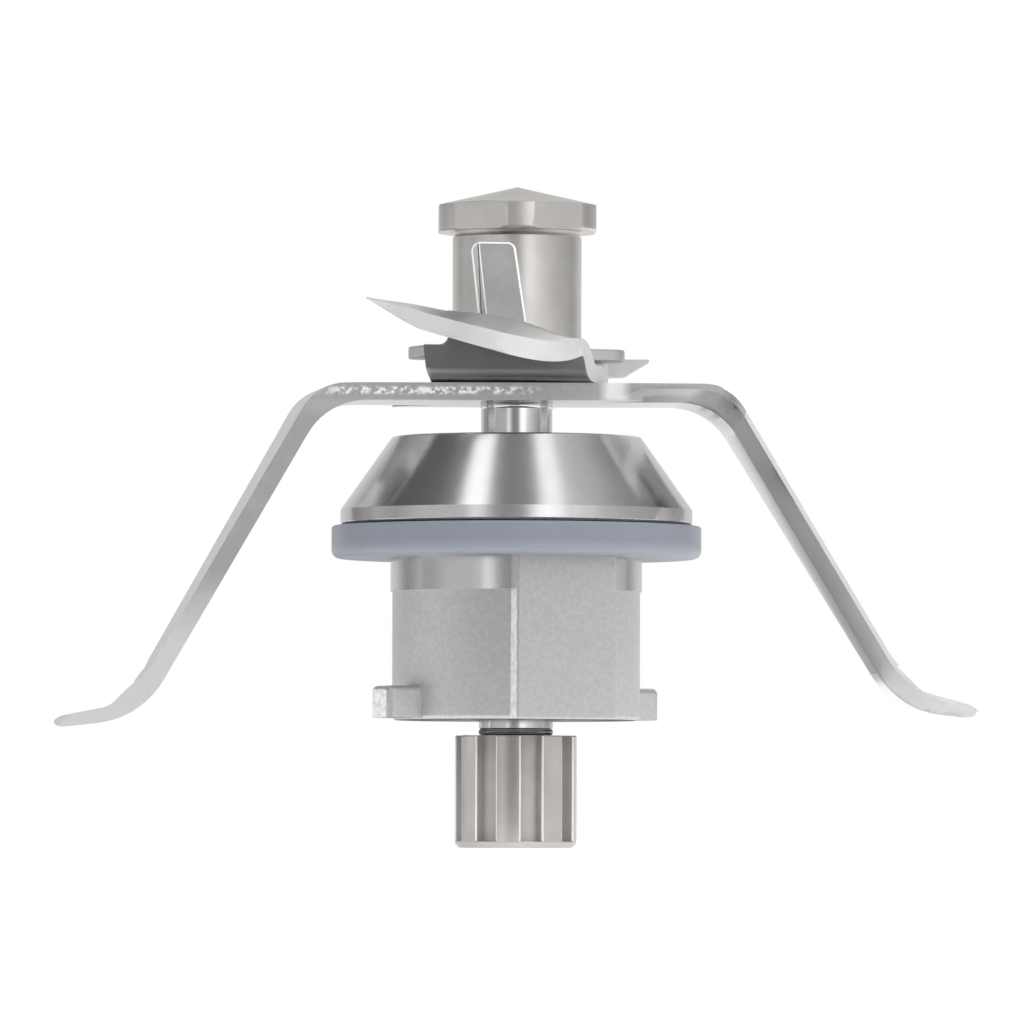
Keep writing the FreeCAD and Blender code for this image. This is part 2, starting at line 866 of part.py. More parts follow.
def lower_blade():
    """Long blade bent down on both sides, with ground leading edges."""
    right = long_wing_strip(long_right_wing)
    left = turned(long_wing_strip(long_left_wing), 180)
    body = right.fuse(left).removeSplitter().common(long_blade_outline())
    for turn, wing in ((0, long_right_wing), (180, long_left_wing)):
        bevel = edge_grind(-1, grind_width, grind_depth, long_lead_start, wing)
        back = edge_grind(1, back_grind_width, back_grind_depth, wing.shoulder - grind_runout, wing)
        for cutter in (bevel, back, tip_grind(wing)):
            body = body.cut(turned(cutter, turn))
    return cut_keyed_hole(body).removeSplitter()


def wing_section(station):
    """Closed wire across a wing at one station: pad, riser, crest and pitched wing."""
    x, rim_height, pitch = station
    crest_height = rim_height + (rim_reach - crest_reach) * math.tan(math.radians(pitch))
    fall = (crest_height - rim_height) / (rim_reach - crest_reach)
    points = [
        V(wing_root_reach, long_blade_top, 0),
        V(riser_foot, long_blade_top, 0),
        V(crest_reach, crest_height, 0),
        V(wing_outer_reach, crest_height - fall * (wing_outer_reach - crest_reach), 0),
    ]
    radii = [wing_bend_radius + sheet, wing_bend_radius]
    return strip_wire(points, radii, 0, sheet, lambda p: V(x, -p.x, p.y))


def wing_outline(tip, lead_points):
    """Plan prism of one wing: riser block on the left, sickle from the right to the tip."""
    right = [V(pad_half_length - inset, -reach, 0) for inset, reach in wing_right_side]
    left = [V(-pad_half_length - overhang, -reach, 0) for overhang, reach in wing_left_side]
    lead = right[-1:] + [V(x, -reach, 0) for x, reach in lead_points]
    lead.append(V(-tip, -wing_tip_reach, 0))
    curve = Part.BSplineCurve()
    curve.interpolate(lead)
    rest = [
        lead[-1],
        V(-wing_slit_end, -wing_rear_reach, 0),
        V(-wing_slit_end, -wing_block_reach, 0),
        V(left[0].x, -wing_block_reach, 0),
    ] + left + [
        V(-pad_half_length, -wing_root_reach, 0),
        V(pad_half_length, -wing_root_reach, 0),
    ] + right
    edges = [curve.toShape()] + Part.makePolygon(rest).Edges
    face = Part.Face(Part.Wire(edges))
    face.translate(V(0, 0, long_blade_top - overrun))
    return face.extrude(V(0, 0, nut_apex - long_blade_top))


def block_trim():
    """Cutter above the blunt end of the riser, left of the sickle's root."""
    left = -pad_half_length - wing_left_side[0][0] - overrun
    corner = V(-wing_block_inner, 0, wing_block_top)
    shoulder = V(-wing_slit_end, 0, wing_block_top + wing_slit_rise)
    bulge = V(-wing_slit_bulge, 0, wing_block_top + wing_slit_bulge_rise)
    top = nut_apex
    outline = [
        Part.Arc(corner, bulge, shoulder).toShape(),
        Part.LineSegment(shoulder, V(-wing_slit_end, 0, top)).toShape(),
        Part.LineSegment(V(-wing_slit_end, 0, top), V(left, 0, top)).toShape(),
        Part.LineSegment(V(left, 0, top), V(left, 0, wing_block_top)).toShape(),
        Part.LineSegment(V(left, 0, wing_block_top), corner).toShape(),
    ]
    return Part.Face(Part.Wire(outline)).extrude(V(0, -wing_rear_reach, 0))


def wing(stations, tip, lead_points, grind_height):
    """One joggled sickle wing on the front side."""
    sheet_body = Part.makeLoft([wing_section(station) for station in stations], True, False)
    body = sheet_body.common(wing_outline(tip, lead_points)).cut(block_trim())
    slope = math.tan(math.radians(sickle_grind_deg))
    low = grind_height - sickle_grind_run * slope
    high = grind_height + overrun * slope
    wedge = Part.makePolygon([
        V(-tip - overrun, 0, high),
        V(-tip + sickle_grind_run, 0, low),
        V(-tip - overrun, 0, low),
        V(-tip - overrun, 0, high),
    ])
    return body.cut(Part.Face(wedge).extrude(V(0, -wing_outer_reach, 0)))


def upper_blade():
    """Upper blade: clamped pad, raised near wing and lower far wing."""
    pad = Part.makeBox(
        2 * pad_half_length, 2 * pad_half_width, sheet,
        V(-pad_half_length, -pad_half_width, long_blade_top))
    front = wing(near_wing_stations, near_tip, near_wing_lead, near_tip_grind_height)
    back = wing(far_wing_stations, far_tip, far_wing_lead, far_tip_grind_height)
    return cut_keyed_hole(pad.fuse([front, turned(back, 180)])).removeSplitter()


def blade_washer():
    """Washer between the upper blade and the paddle plate."""
    body = cylinder(washer_radius, upper_blade_top, paddle_seat)
    return body.cut(cylinder(shaft_stub_radius + blade_hole_clearance, upper_blade_top, paddle_seat))


def paddle_tab():
    """Front tab of the paddle plate: flat foot, bend and upright blunt paddle."""
    points = [
        V(0, paddle_seat, 0),
        V(tab_inner_reach + paddle_sheet, paddle_seat, 0),
        V(tab_inner_reach + paddle_sheet, tab_top, 0),
    ]
    radii = [tab_bend_radius + paddle_sheet]
    profile = Part.Face(strip_wire(points, radii, 0, paddle_sheet, lambda p: V(0, -p.x, p.y)))
    half = paddle_bar_half_length
    profile.translate(V(-half, 0, 0))
    strip = profile.extrude(V(2 * half, 0, 0))
    outline = Part.Face(Part.makePolygon([
        V(tab_foot_left, 0, paddle_seat),
        V(tab_foot_right, 0, paddle_seat),
        V(tab_top_right, 0, tab_top),
        V(tab_top_left, 0, tab_top),
        V(tab_foot_left, 0, paddle_seat),
    ]))
    window = outline.extrude(V(0, -half, 0))
    top_corners = [
        edge for edge in window.Edges
        if edge.BoundBox.ZLength + edge.BoundBox.XLength < 1e-6
        and edge.BoundBox.ZMin > tab_top - near
    ]
    window = window.makeFillet(tab_corner_round, top_corners)
    return strip.common(window).cut(tab_grind())


def tab_grind():
    """Wedge that grinds the tab's left outer edge."""
    front = -tab_inner_reach - paddle_sheet
    height = tab_top - paddle_seat
    lean = V(tab_top_left - tab_foot_left, 0, height)
    slope = tab_grind_depth / tab_grind_width
    left = tab_foot_left - overrun
    right = tab_foot_left + 2 * tab_grind_width
    corners = [
        V(left, front + tab_grind_depth + overrun * slope, paddle_seat),
        V(right, front - tab_grind_depth, paddle_seat),
        V(left, front - tab_grind_depth, paddle_seat),
    ]
    return Part.Face(Part.makePolygon(corners + corners[:1])).extrude(lean)


def paddle_plate():
    """Blunt bar with two upright tabs, under the cap nut."""
    bar = Part.makeBox(
        2 * paddle_bar_half_length, 2 * paddle_bar_half_width, paddle_sheet,
        V(-paddle_bar_half_length, -paddle_bar_half_width, paddle_seat))
    bar = bar.makeFillet(paddle_bar_round, upright_edges(bar, lambda spot: True))
    hub = cylinder(paddle_hub_radius, paddle_seat, nut_seat)
    tab = paddle_tab()
    body = turned(bar, paddle_bar_turn_deg).fuse([hub, tab, turned(tab, 180)])
    return cut_keyed_hole(body).removeSplitter()


def cap_nut():
    """Cap nut: hexagonal head with a conical top on a long plain barrel."""
    head_top = nut_apex - nut_head_corner_radius * math.tan(math.radians(nut_cone_deg))
    corner = nut_head_corner_radius
    head = revolved([
        (0, nut_head_bottom),
        (corner - nut_head_chamfer, nut_head_bottom),
        (corner, nut_head_bottom + nut_head_chamfer),
        (corner, head_top),
        (0, nut_apex),
    ])
    half_flats = 0.5 * nut_across_flats
    point = half_flats / math.cos(math.radians(30))
    hexagon = prism([polar(point, 60.0 * index) for index in range(6)], nut_head_bottom, nut_apex)
    head = turned(head.common(hexagon), nut_turn_deg)
    groove = nut_barrel_radius - nut_neck_groove
    barrel = revolved([
        (0, nut_seat),
        (nut_barrel_radius - nut_foot_chamfer, nut_seat),
        (nut_barrel_radius, nut_seat + nut_foot_chamfer),
        (nut_barrel_radius, nut_head_bottom - 2 * nut_neck_groove),
        (groove, nut_head_bottom - nut_neck_groove),
        (groove, nut_head_bottom),
        (0, nut_head_bottom),
    ])
    bore = shaft_thread_radius + nut_bore_clearance
    bore_top = thread_top + nut_bore_spare
    mouth = shaft_stub_radius + nut_bore_clearance
    step = nut_seat + nut_bore_step
    hole = revolved([
        (0, nut_seat - overrun),
        (mouth, nut_seat - overrun),
        (mouth, step),
        (bore, step + nut_bore_chamfer),
        (bore, bore_top),
        (0, bore_top + 0.5 * bore),
    ])
    return head.fuse(barrel).cut(hole).removeSplitter()


def all_pieces():
    """Every piece of the assembly under its node name."""
    pieces = {
        "bearing_housing": bearing_housing(),
        "bowl_seal": bowl_seal(),
        "shaft_seal": shaft_seal(),
        "seal_spring": seal_spring(),
        "distance_tube": distance_tube(),
        "housing_circlip": housing_circlip(),
        "shaft": shaft(),
        "snap_ring": snap_ring(),
        "drive_coupling": drive_coupling(),
        "coupling_pin": coupling_pin(),
        "lower_blade": lower_blade(),
        "upper_blade": upper_blade(),
        "blade_washer": blade_washer(),
        "paddle_plate": paddle_plate(),
        "cap_nut": cap_nut(),
    }
    for side, bottom in (("lower", lower_bearing_bottom), ("upper", upper_bearing_bottom)):
        pieces[side + "_bearing_outer_ring"] = bearing_outer_ring(bottom)
        pieces[side + "_bearing_inner_ring"] = bearing_inner_ring(bottom)
        pieces[side + "_bearing_balls"] = bearing_balls(bottom)
        pieces[side + "_bearing_cage"] = bearing_cage(bottom)
        pieces[side + "_bearing_shields"] = bearing_shields(bottom)
    return pieces


os.makedirs("parts", exist_ok=True)
for node, piece in all_pieces().items():
    box = piece.BoundBox
    print(node, piece.ShapeType, len(piece.Solids), piece.isValid(), round(piece.Volume, 1),
          [round(value, 2) for value in (box.XMin, box.YMin, box.ZMin, box.XMax, box.YMax, box.ZMax)])
    piece.exportStep("parts/" + node + ".step")
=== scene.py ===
import logging
import math
from dataclasses import dataclass, field
from enum import Enum
from functools import cache
from typing import Any, Callable, Sequence

import bmesh
import bpy
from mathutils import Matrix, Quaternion, Vector


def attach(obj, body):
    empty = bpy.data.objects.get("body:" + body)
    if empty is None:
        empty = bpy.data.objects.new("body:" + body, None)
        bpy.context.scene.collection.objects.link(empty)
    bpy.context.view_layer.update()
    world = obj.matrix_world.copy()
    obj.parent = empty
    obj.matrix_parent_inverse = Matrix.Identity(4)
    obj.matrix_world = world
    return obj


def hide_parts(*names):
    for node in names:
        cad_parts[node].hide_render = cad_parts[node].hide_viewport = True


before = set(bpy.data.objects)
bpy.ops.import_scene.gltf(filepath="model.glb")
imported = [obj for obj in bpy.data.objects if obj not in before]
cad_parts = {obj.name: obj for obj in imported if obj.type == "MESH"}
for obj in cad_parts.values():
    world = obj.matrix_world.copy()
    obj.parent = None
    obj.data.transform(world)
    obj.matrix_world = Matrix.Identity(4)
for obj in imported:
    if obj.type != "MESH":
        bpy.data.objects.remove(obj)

# Looks of a blender blade assembly, dressed over its solid model.
# Sizes and places are in millimetres, in the model's frame: +Z up the shaft, X along the long blade.

MM = 0.001
LOG = logging.getLogger("blade_assembly")

MERGE_REACH = 0.0005
CUT_REACH = 0.0001
FINE_ROUND = 0.08
SHARP_DEG = 28.0
CLOUD_DETAIL = 3.0
CLOUD_STOPS = ((0.3, 0.0), (0.7, 1.0))
NOISE_ROUGHNESS = 0.55

Colour = tuple[float, float, float]
Point = tuple[float, float, float]
Span = tuple[float, float]
Stops = Sequence[Span]
Socket = bpy.types.NodeSocket
Piece = bpy.types.Object
Chooser = Callable[[Vector, Vector], int]

WHITE = (1.0, 1.0, 1.0)


class Grain(Enum):
    """Which way the fine marks of a metal finish run."""

    EVEN = (1.0, 1.0, 1.0)
    AROUND = (0.15, 0.15, 6.0)
    ALONG_X = (0.12, 3.0, 3.0)
    UPRIGHT = (4.0, 4.0, 0.15)


@dataclass
class Graph:
    """Adds nodes to a node tree and links them in one call each."""

    tree: bpy.types.NodeTree

    def add(self, kind: str, inputs: dict | None = None, **settings: Any) -> bpy.types.Node:
        """Adds one node.

        Args:
            kind: Name of the node type.
            inputs: What it is fed.
            settings: Properties of the node itself.

        Returns:
            The new node.
        """
        node = self.tree.nodes.new(kind)
        for name, value in settings.items():
            setattr(node, name, value)
        self.feed(node, inputs or {})
        return node

    def feed(self, node: bpy.types.Node, inputs: dict) -> None:
        """Gives a node its inputs.

        Args:
            node: The node.
            inputs: Socket name or index to a value or to another node's output.
        """
        for key, value in inputs.items():
            if isinstance(value, Socket):
                self.tree.links.new(value, node.inputs[key])
            else:
                node.inputs[key].default_value = value

    def math(self, operation: str, first: Any, second: Any = 0.0, third: Any = 0.0) -> Socket:
        """Adds a Math node and returns its output."""
        inputs = {0: first, 1: second, 2: third}
        return self.add("ShaderNodeMath", inputs, operation=operation).outputs[0]

    def times(self, first: Any, second: Any) -> Socket:
        """Adds the product of two values and returns it."""
        return self.math("MULTIPLY", first, second)

    def spread(self, value: Any, ends: Span, low: float, high: float) -> Socket:
        """Adds a straight change from low to high between the two ends of a value and returns it."""
        inputs = {"Value": value, 1: ends[0], 2: ends[1], 3: low, 4: high}
        return self.add("ShaderNodeMapRange", inputs).outputs[0]

    def window(self, value: Any, ends: Span, blur: float) -> Socket:
        """Adds a soft mask that is 1 between the two ends of a value and 0 outside them."""
        rise, fall = ((end - blur, end + blur) for end in ends)
        return self.times(self.spread(value, rise, 0.0, 1.0), self.spread(value, fall, 1.0, 0.0))

    def ramp(self, value: Any, stops: Stops) -> Socket:
        """Adds a colour ramp of grey levels that eases between its stops.

        Args:
            value: Socket that drives the ramp.
            stops: Position and level of each stop.

        Returns:
            The ramp's colour output.
        """
        node = self.add("ShaderNodeValToRGB", {"Fac": value})
        node.color_ramp.interpolation = "EASE"
        elements = node.color_ramp.elements
        while len(elements) < len(stops):
            elements.new(1.0)
        for element, (place, level) in zip(elements, stops):
            element.position = place
            element.color = (level, level, level, 1.0)
        return node.outputs["Color"]

    def mix(self, factor: Any, *colours: Any) -> Socket:
        """Adds a mix of two colours, each given as levels or a socket, and returns it."""
        first, second = (value if isinstance(value, Socket) else (*value, 1.0) for value in colours)
        return self.add("ShaderNodeMix", {"Factor": factor, 6: first, 7: second}, data_type="RGBA").outputs[2]

    def bump(self, height: Socket, depth: float, **under: Socket) -> Socket:
        """Adds a bump of a depth in millimetres, over another one given as Normal, and returns its normal."""
        inputs = {"Height": height, "Distance": depth * MM, "Strength": 1.0, **under}
        return self.add("ShaderNodeBump", inputs).outputs[0]


@dataclass(frozen=True)
class MetalFinish:
    """A bare metal surface: colour, gloss, clouding, fine marks and grain."""

    name: str
    colour: Colour
    roughness: float
    grain: Grain = Grain.EVEN
    cloud: float = 0.06
    cloud_size: float = 5.0
    gloss_spread: float = 0.06
    mark_size: float = 0.35
    mark_detail: float = 6.0
    mark_depth: float = 0.004
    pit_size: float = 0.0
    pit_depth: float = 0.0
    metallic: float = 1.0

    def material(self) -> bpy.types.Material:
        """Builds the material's nodes.

        Returns:
            The new material.
        """
        material, graph, shader, place = new_surface(self.name)
        clouds = noise(graph, place, self.cloud_size)
        dark = tuple(level * (1 - self.cloud) for level in self.colour)
        light = tuple(min(1.0, level * (1 + self.cloud)) for level in self.colour)
        tone = graph.mix(graph.ramp(clouds, CLOUD_STOPS), dark, light)
        stretched = graph.add("ShaderNodeMapping", {"Vector": place, "Scale": self.grain.value}).outputs[0]
        marks = noise(graph, stretched, self.mark_size, self.mark_detail)
        gloss = graph.math("MULTIPLY_ADD", marks, 2 * self.gloss_spread, self.roughness - self.gloss_spread)
        normal = graph.bump(marks, self.mark_depth)
        if self.pit_size:
            pits = noise(graph, place, self.pit_size)
            normal = graph.bump(pits, self.pit_depth, Normal=normal)
        graph.feed(shader, {
            "Metallic": self.metallic, "Base Color": tone, "Roughness": gloss, "Normal": normal})
        return material


@dataclass(frozen=True)
class ShearedFinish:
    """The long blade's cut wall: matte, darker down the limbs, with painted shade across its middle and, on
    it, a streak of painted highlight flecks and a painted highlight patch.
    """

    name: str
    colour: Colour
    highlight_colour: Colour
    roughness: float
    metallic: float
    limb_level: float
    limb_heights: Span
    shade_level: float
    middle_heights: Span
    shade_reach: Span
    streak_heights: Span
    streak_reach: Span
    patch_reach: Span
    patch_share: float = 0.7
    limb_blur: float = 5.0
    middle_blur: float = 0.4
    reach_blur: float = 3.0
    streak_blur: float = 0.2
    streak_end_blur: float = 2.0
    patch_blur: float = 0.7
    fleck_size: float = 0.7
    fleck_detail: float = 2.0
    fleck_stops: Stops = ((0.42, 0.0), (0.6, 1.0))
    fleck_lift: float = 0.3
    cloud_size: float = 3.0
    cloud_share: float = 0.5
    cloud_least: float = 0.75
    mark_size: float = 0.35
    mark_detail: float = 5.0
    mark_depth: float = 0.008

    def material(self) -> bpy.types.Material:
        """Builds the material's nodes.

        Returns:
            The new material.
        """
        material, graph, shader, place = new_surface(self.name)
        x, _, z = graph.add("ShaderNodeSeparateXYZ", {0: place}).outputs
        flecks = graph.ramp(noise(graph, place, self.fleck_size, self.fleck_detail), self.fleck_stops)
        # Painted highlight: a streak of white flecks along the middle of the cut wall.
        sparkle_streak = graph.times(graph.times(graph.window(z, self.streak_heights, self.streak_blur),
                                         graph.window(x, self.streak_reach, self.streak_end_blur)), flecks)
        middle = graph.window(z, self.middle_heights, self.middle_blur)
        # Painted highlight: a whitish patch on the middle of the cut wall.
        highlight_patch = graph.window(x, self.patch_reach, self.patch_blur)
        highlight_patch = graph.times(highlight_patch, graph.times(middle, self.patch_share))
        clouds = noise(graph, place, self.cloud_size)
        clouds = graph.math("MULTIPLY_ADD", clouds, self.cloud_share, self.cloud_least)
        limb = graph.times(graph.window(z, self.limb_heights, self.limb_blur), clouds)
        plain = graph.mix(limb, self.colour, tuple(self.limb_level * part for part in self.colour))
        # Painted shade: the cut wall's middle, under the raised wing, is darkened.
        painted_shade = graph.times(middle, graph.window(x, self.shade_reach, self.reach_blur))
        painted_shade = graph.times(painted_shade, graph.math("MULTIPLY_ADD", flecks, -self.fleck_lift, 1.0))
        plain = graph.mix(painted_shade, plain, tuple(self.shade_level * part for part in self.colour))
        tone = graph.mix(graph.math("MAXIMUM", sparkle_streak, highlight_patch), plain, self.highlight_colour)
        fine = noise(graph, place, self.mark_size, self.mark_detail)
        graph.feed(shader, {
            "Base Color": tone, "Metallic": self.metallic, "Roughness": self.roughness,
            "Normal": graph.bump(fine, self.mark_depth)})
        return material


@dataclass(frozen=True)
class SoftFinish:
    """Silicone or elastomer: coloured body with a painted sheen towards its rims and some light through it.
    """

    name: str
    colour: Colour
    sheen_and_tone_colour: Colour
    roughness: float
    through: float
    cloud_size: float = 9.0
    cloud_share: float = 0.35
    sheen_share: float = 0.65
    sheen_blend: float = 0.35
    light_share: float = 0.8
    light_below: Span | None = None
    reach: Colour = (0.8, 0.9, 1.0)
    reach_scale: float = 1.5
    mark_size: float = 0.4
    mark_detail: float = 4.0
    mark_depth: float = 0.006

    def material(self) -> bpy.types.Material:
        """Builds the material's nodes.

        Returns:
            The new material.
        """
        material, graph, shader, place = new_surface(self.name)
        clouds = noise(graph, place, self.cloud_size)
        # Painted sheen: the colour turns lighter where the surface turns away from the camera.
        painted_sheen = graph.add("ShaderNodeLayerWeight", {"Blend": self.sheen_blend}).outputs["Facing"]
        factor = graph.math("ADD", graph.times(clouds, self.cloud_share), graph.times(painted_sheen, self.sheen_share))
        if self.light_below:
            height = graph.add("ShaderNodeSeparateXYZ", {0: place}).outputs["Z"]
            below = graph.spread(height, self.light_below, self.light_share, 0.0)
            factor = graph.math("MINIMUM", graph.math("ADD", factor, below), 1.0)
        fine = noise(graph, place, self.mark_size, self.mark_detail)
        graph.feed(shader, {
            "Base Color": graph.mix(factor, self.colour, self.sheen_and_tone_colour), "Roughness": self.roughness,
            "Subsurface Weight": self.through, "Subsurface Radius": self.reach,
            "Subsurface Scale": self.reach_scale * MM, "Normal": graph.bump(fine, self.mark_depth)})
        return material


Finish = MetalFinish | ShearedFinish | SoftFinish


def new_surface(name: str) -> tuple[bpy.types.Material, Graph, bpy.types.Node, Socket]:
    """Starts a node material on Object coordinates.

    Args:
        name: The material's name.

    Returns:
        The material, its graph, its surface shader and its coordinates in millimetres.
    """
    material = bpy.data.materials.new(name)
    material.use_nodes = True
    material.node_tree.nodes.clear()
    graph = Graph(material.node_tree)
    shader = graph.add("ShaderNodeBsdfPrincipled")
    graph.add("ShaderNodeOutputMaterial", {"Surface": shader.outputs[0]})
    where = graph.add("ShaderNodeTexCoord").outputs["Object"]
    place = graph.add("ShaderNodeMapping", {"Vector": where, "Scale": (1 / MM, 1 / MM, 1 / MM)})
    return material, graph, shader, place.outputs[0]


def noise(graph: Graph, place: Socket, size: float, detail: float = CLOUD_DETAIL) -> Socket:
    """Adds a noise whose features are about size millimetres across."""
    inputs = {"Vector": place, "Scale": 1.0 / size, "Detail": detail, "Roughness": NOISE_ROUGHNESS}
    return graph.add("ShaderNodeTexNoise", inputs).outputs["Fac"]


CAST_SKIN = MetalFinish(
    "cast_skin", (0.73, 0.72, 0.73), 0.52, cloud=0.05, cloud_size=0.6, mark_size=0.16, mark_depth=0.014,
    pit_size=0.34, pit_depth=0.012)
# Parting flash on the key block's side, painted near white over the whole face as a painted highlight.
CAST_FLASH_HIGHLIGHT = MetalFinish(
    "cast_flash_highlight", (0.95, 0.94, 0.93), 0.55, cloud=0.2, cloud_size=0.7, mark_size=0.3, mark_depth=0.02,
    metallic=0.45)
# Painted shade: the casting's rough foot is painted nearly black.
CAST_FOOT_SHADE = MetalFinish(
    "cast_foot_shade", (0.15, 0.145, 0.14), 0.7, cloud=0.2, cloud_size=1.5, mark_size=0.3, mark_depth=0.02,
    metallic=0.6)
POLISHED_CASTING = MetalFinish(
    "polished_casting", (0.66, 0.65, 0.655), 0.16, Grain.AROUND, cloud=0.03, gloss_spread=0.03, mark_size=0.3,
    mark_depth=0.0015)
SATIN_SHEET = MetalFinish(
    "satin_sheet", (0.66, 0.66, 0.675), 0.24, Grain.ALONG_X, cloud=0.05, cloud_size=7.0, gloss_spread=0.05,
    mark_depth=0.0015)
GROUND_EDGE = MetalFinish(
    "ground_edge", (0.60, 0.60, 0.615), 0.3, cloud=0.05, gloss_spread=0.04, mark_depth=0.003)
# Painted highlight: the up-facing ground bevels on the limbs are lighter and less metallic.
GROUND_HOLLOW_HIGHLIGHT = MetalFinish(
    "ground_hollow_highlight", (0.70, 0.70, 0.72), 0.4, cloud=0.02, gloss_spread=0.04, mark_depth=0.002, metallic=0.4)
# Painted highlight: the tips' underside is lighter than the sheet's top.
UNDER_SHEET_HIGHLIGHT = MetalFinish("under_sheet_highlight", (0.9, 0.9, 0.91), 0.3, cloud=0.01, gloss_spread=0.03, mark_depth=0.0)
# The cut wall carries painted shade across its middle and painted highlights in a fleck streak and a patch.
CUT_EDGE = ShearedFinish(
    "cut_edge", (0.65, 0.645, 0.66), WHITE, 0.5, 0.5, limb_level=0.6, limb_heights=(33.0, 62.0),
    shade_level=0.62, middle_heights=(60.0, 64.0), shade_reach=(-28.0, 30.0), streak_heights=(60.9, 61.8),
    streak_reach=(-25.0, 1.5), patch_reach=(11.6, 14.8))
SATIN_WING = MetalFinish(
    "satin_wing", (0.80, 0.80, 0.815), 0.36, Grain.ALONG_X, cloud=0.05, cloud_size=7.0, gloss_spread=0.05,
    mark_depth=0.0015)
# Painted shade for the raised wing's underside.
UNDER_WING_SHADE = MetalFinish(
    "under_wing_shade", (0.46, 0.46, 0.465), 0.4, Grain.ALONG_X, cloud_size=7.0, gloss_spread=0.05,
    mark_depth=0.0015)
GROUND_RIM = MetalFinish(
    "ground_rim", (0.70, 0.70, 0.72), 0.42, cloud=0.05, gloss_spread=0.05, mark_depth=0.002, metallic=0.55)
# Painted highlight for the rounds of the paddle's lugs.
RIM_HIGHLIGHT = MetalFinish(
    "rim_highlight", (0.98, 0.98, 0.99), 0.4, cloud=0.02, gloss_spread=0.05, mark_depth=0.002, metallic=0.35)
SATIN_PLATE = MetalFinish(
    "satin_plate", (0.55, 0.545, 0.555), 0.36, Grain.UPRIGHT, cloud_size=3.0, gloss_spread=0.05,
    mark_depth=0.002, metallic=0.85)
SATIN_TURNED = MetalFinish(
    "satin_turned", (0.655, 0.635, 0.61), 0.3, Grain.AROUND, cloud=0.05, cloud_size=6.0, gloss_spread=0.05,
    mark_depth=0.002)
MILLED_TEETH = MetalFinish(
    "milled_teeth", (0.64, 0.62, 0.60), 0.25, Grain.UPRIGHT, cloud=0.04, mark_depth=0.003)
# Painted shade: the grooves' floors and walls are darker.
MILLED_FLOOR_SHADE = MetalFinish(
    "milled_floor_shade", (0.47, 0.455, 0.44), 0.38, Grain.UPRIGHT, cloud=0.05, cloud_size=3.0, metallic=0.5)
# Painted highlight for the teeth's corner rounds.
TOOTH_CORNER_HIGHLIGHT = MetalFinish(
    "tooth_corner_highlight", (0.97, 0.96, 0.95), 0.3, Grain.UPRIGHT, cloud=0.02, gloss_spread=0.05, mark_depth=0.003,
    metallic=0.6)
BRIGHT_TURNED = MetalFinish(
    "bright_turned", (0.68, 0.67, 0.66), 0.12, Grain.AROUND, cloud=0.04, gloss_spread=0.03, mark_depth=0.0012)
SPRING_WIRE = MetalFinish("spring_wire", (0.34, 0.34, 0.35), 0.25)
BEARING_STEEL = MetalFinish("bearing_steel", (0.64, 0.64, 0.66), 0.12, Grain.AROUND)
# The soft finishes get a painted sheen towards their rims.
SILICONE = SoftFinish(
    "silicone", (0.19, 0.208, 0.25), (0.29, 0.31, 0.352), 0.36, 0.35, light_below=(39.4, 41.0))
ELASTOMER = SoftFinish("elastomer", (0.02, 0.02, 0.022), (0.05, 0.05, 0.055), 0.45, 0.0)
CAGE_PLASTIC = SoftFinish("cage_plastic", (0.62, 0.55, 0.40), (0.68, 0.62, 0.48), 0.4, 0.1)


@cache
def material_of(finish: Finish) -> bpy.types.Material:
    """Returns a finish's material, which is made on first use."""
    return finish.material()


def piece_of(name: str, points: Sequence[Point] = (), faces: Sequence[tuple[int, ...]] = ()) -> Piece:
    """Makes a piece and puts it into the scene.

    Args:
        name: Name of the new piece.
        points: Its points, in millimetres.
        faces: The points of each face.

    Returns:
        The new piece.
    """
    mesh = bpy.data.meshes.new(name)
    mesh.from_pydata([[part * MM for part in point] for point in points], [], faces)
    return linked(name, mesh)


def linked(name: str, data: bpy.types.ID) -> Piece:
    """Puts an object with its mesh, lamp or camera into the scene.

    Args:
        name: Name of the new object.
        data: What it holds.

    Returns:
        The new object.
    """
    made = bpy.data.objects.new(name, data)
    bpy.context.scene.collection.objects.link(made)
    return made


def reshape(mesh: bpy.types.Mesh, change: Callable[[bmesh.types.BMesh], Any]) -> None:
    """Changes a mesh in edit form.

    Args:
        mesh: The mesh to change.
        change: What is done to it.
    """
    tool = bmesh.new()
    tool.from_mesh(mesh)
    change(tool)
    tool.to_mesh(mesh)
    tool.free()


def merged_copy(node: str, name: str) -> Piece:
    """Copies a model node as one connected mesh.

    Args:
        node: The model node to copy.
        name: Name of the new piece.

    Returns:
        The copy, linked to the scene.
    """
    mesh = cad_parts[node].data.copy()
    mesh.name = name
    mesh.materials.clear()
    reshape(mesh, lambda tool: bmesh.ops.remove_doubles(tool, verts=tool.verts, dist=MERGE_REACH * MM))
    layer = mesh.attributes.get("custom_normal")
    if layer:
        mesh.attributes.remove(layer)
    return linked(name, mesh)


def flatten(piece: Piece) -> None:
    """Turns a piece with live modifiers into a plain mesh and drops the modifiers.

    Args:
        piece: The piece to flatten.
    """
    graph = bpy.context.evaluated_depsgraph_get()
    mesh = bpy.data.meshes.new_from_object(piece.evaluated_get(graph), depsgraph=graph)
    piece.modifiers.clear()
    piece.data = mesh


def cut_across(tool: bmesh.types.BMesh, place: Point, direction: Point) -> None:
    """Adds the edges where a plane crosses a mesh.

    Args:
        tool: The mesh being worked on.
        place: A point of the plane.
        direction: The plane's normal.
    """
    bmesh.ops.bisect_plane(tool, geom=[*tool.verts, *tool.edges, *tool.faces], dist=CUT_REACH * MM,
                           plane_co=Vector(place) * MM, plane_no=direction)


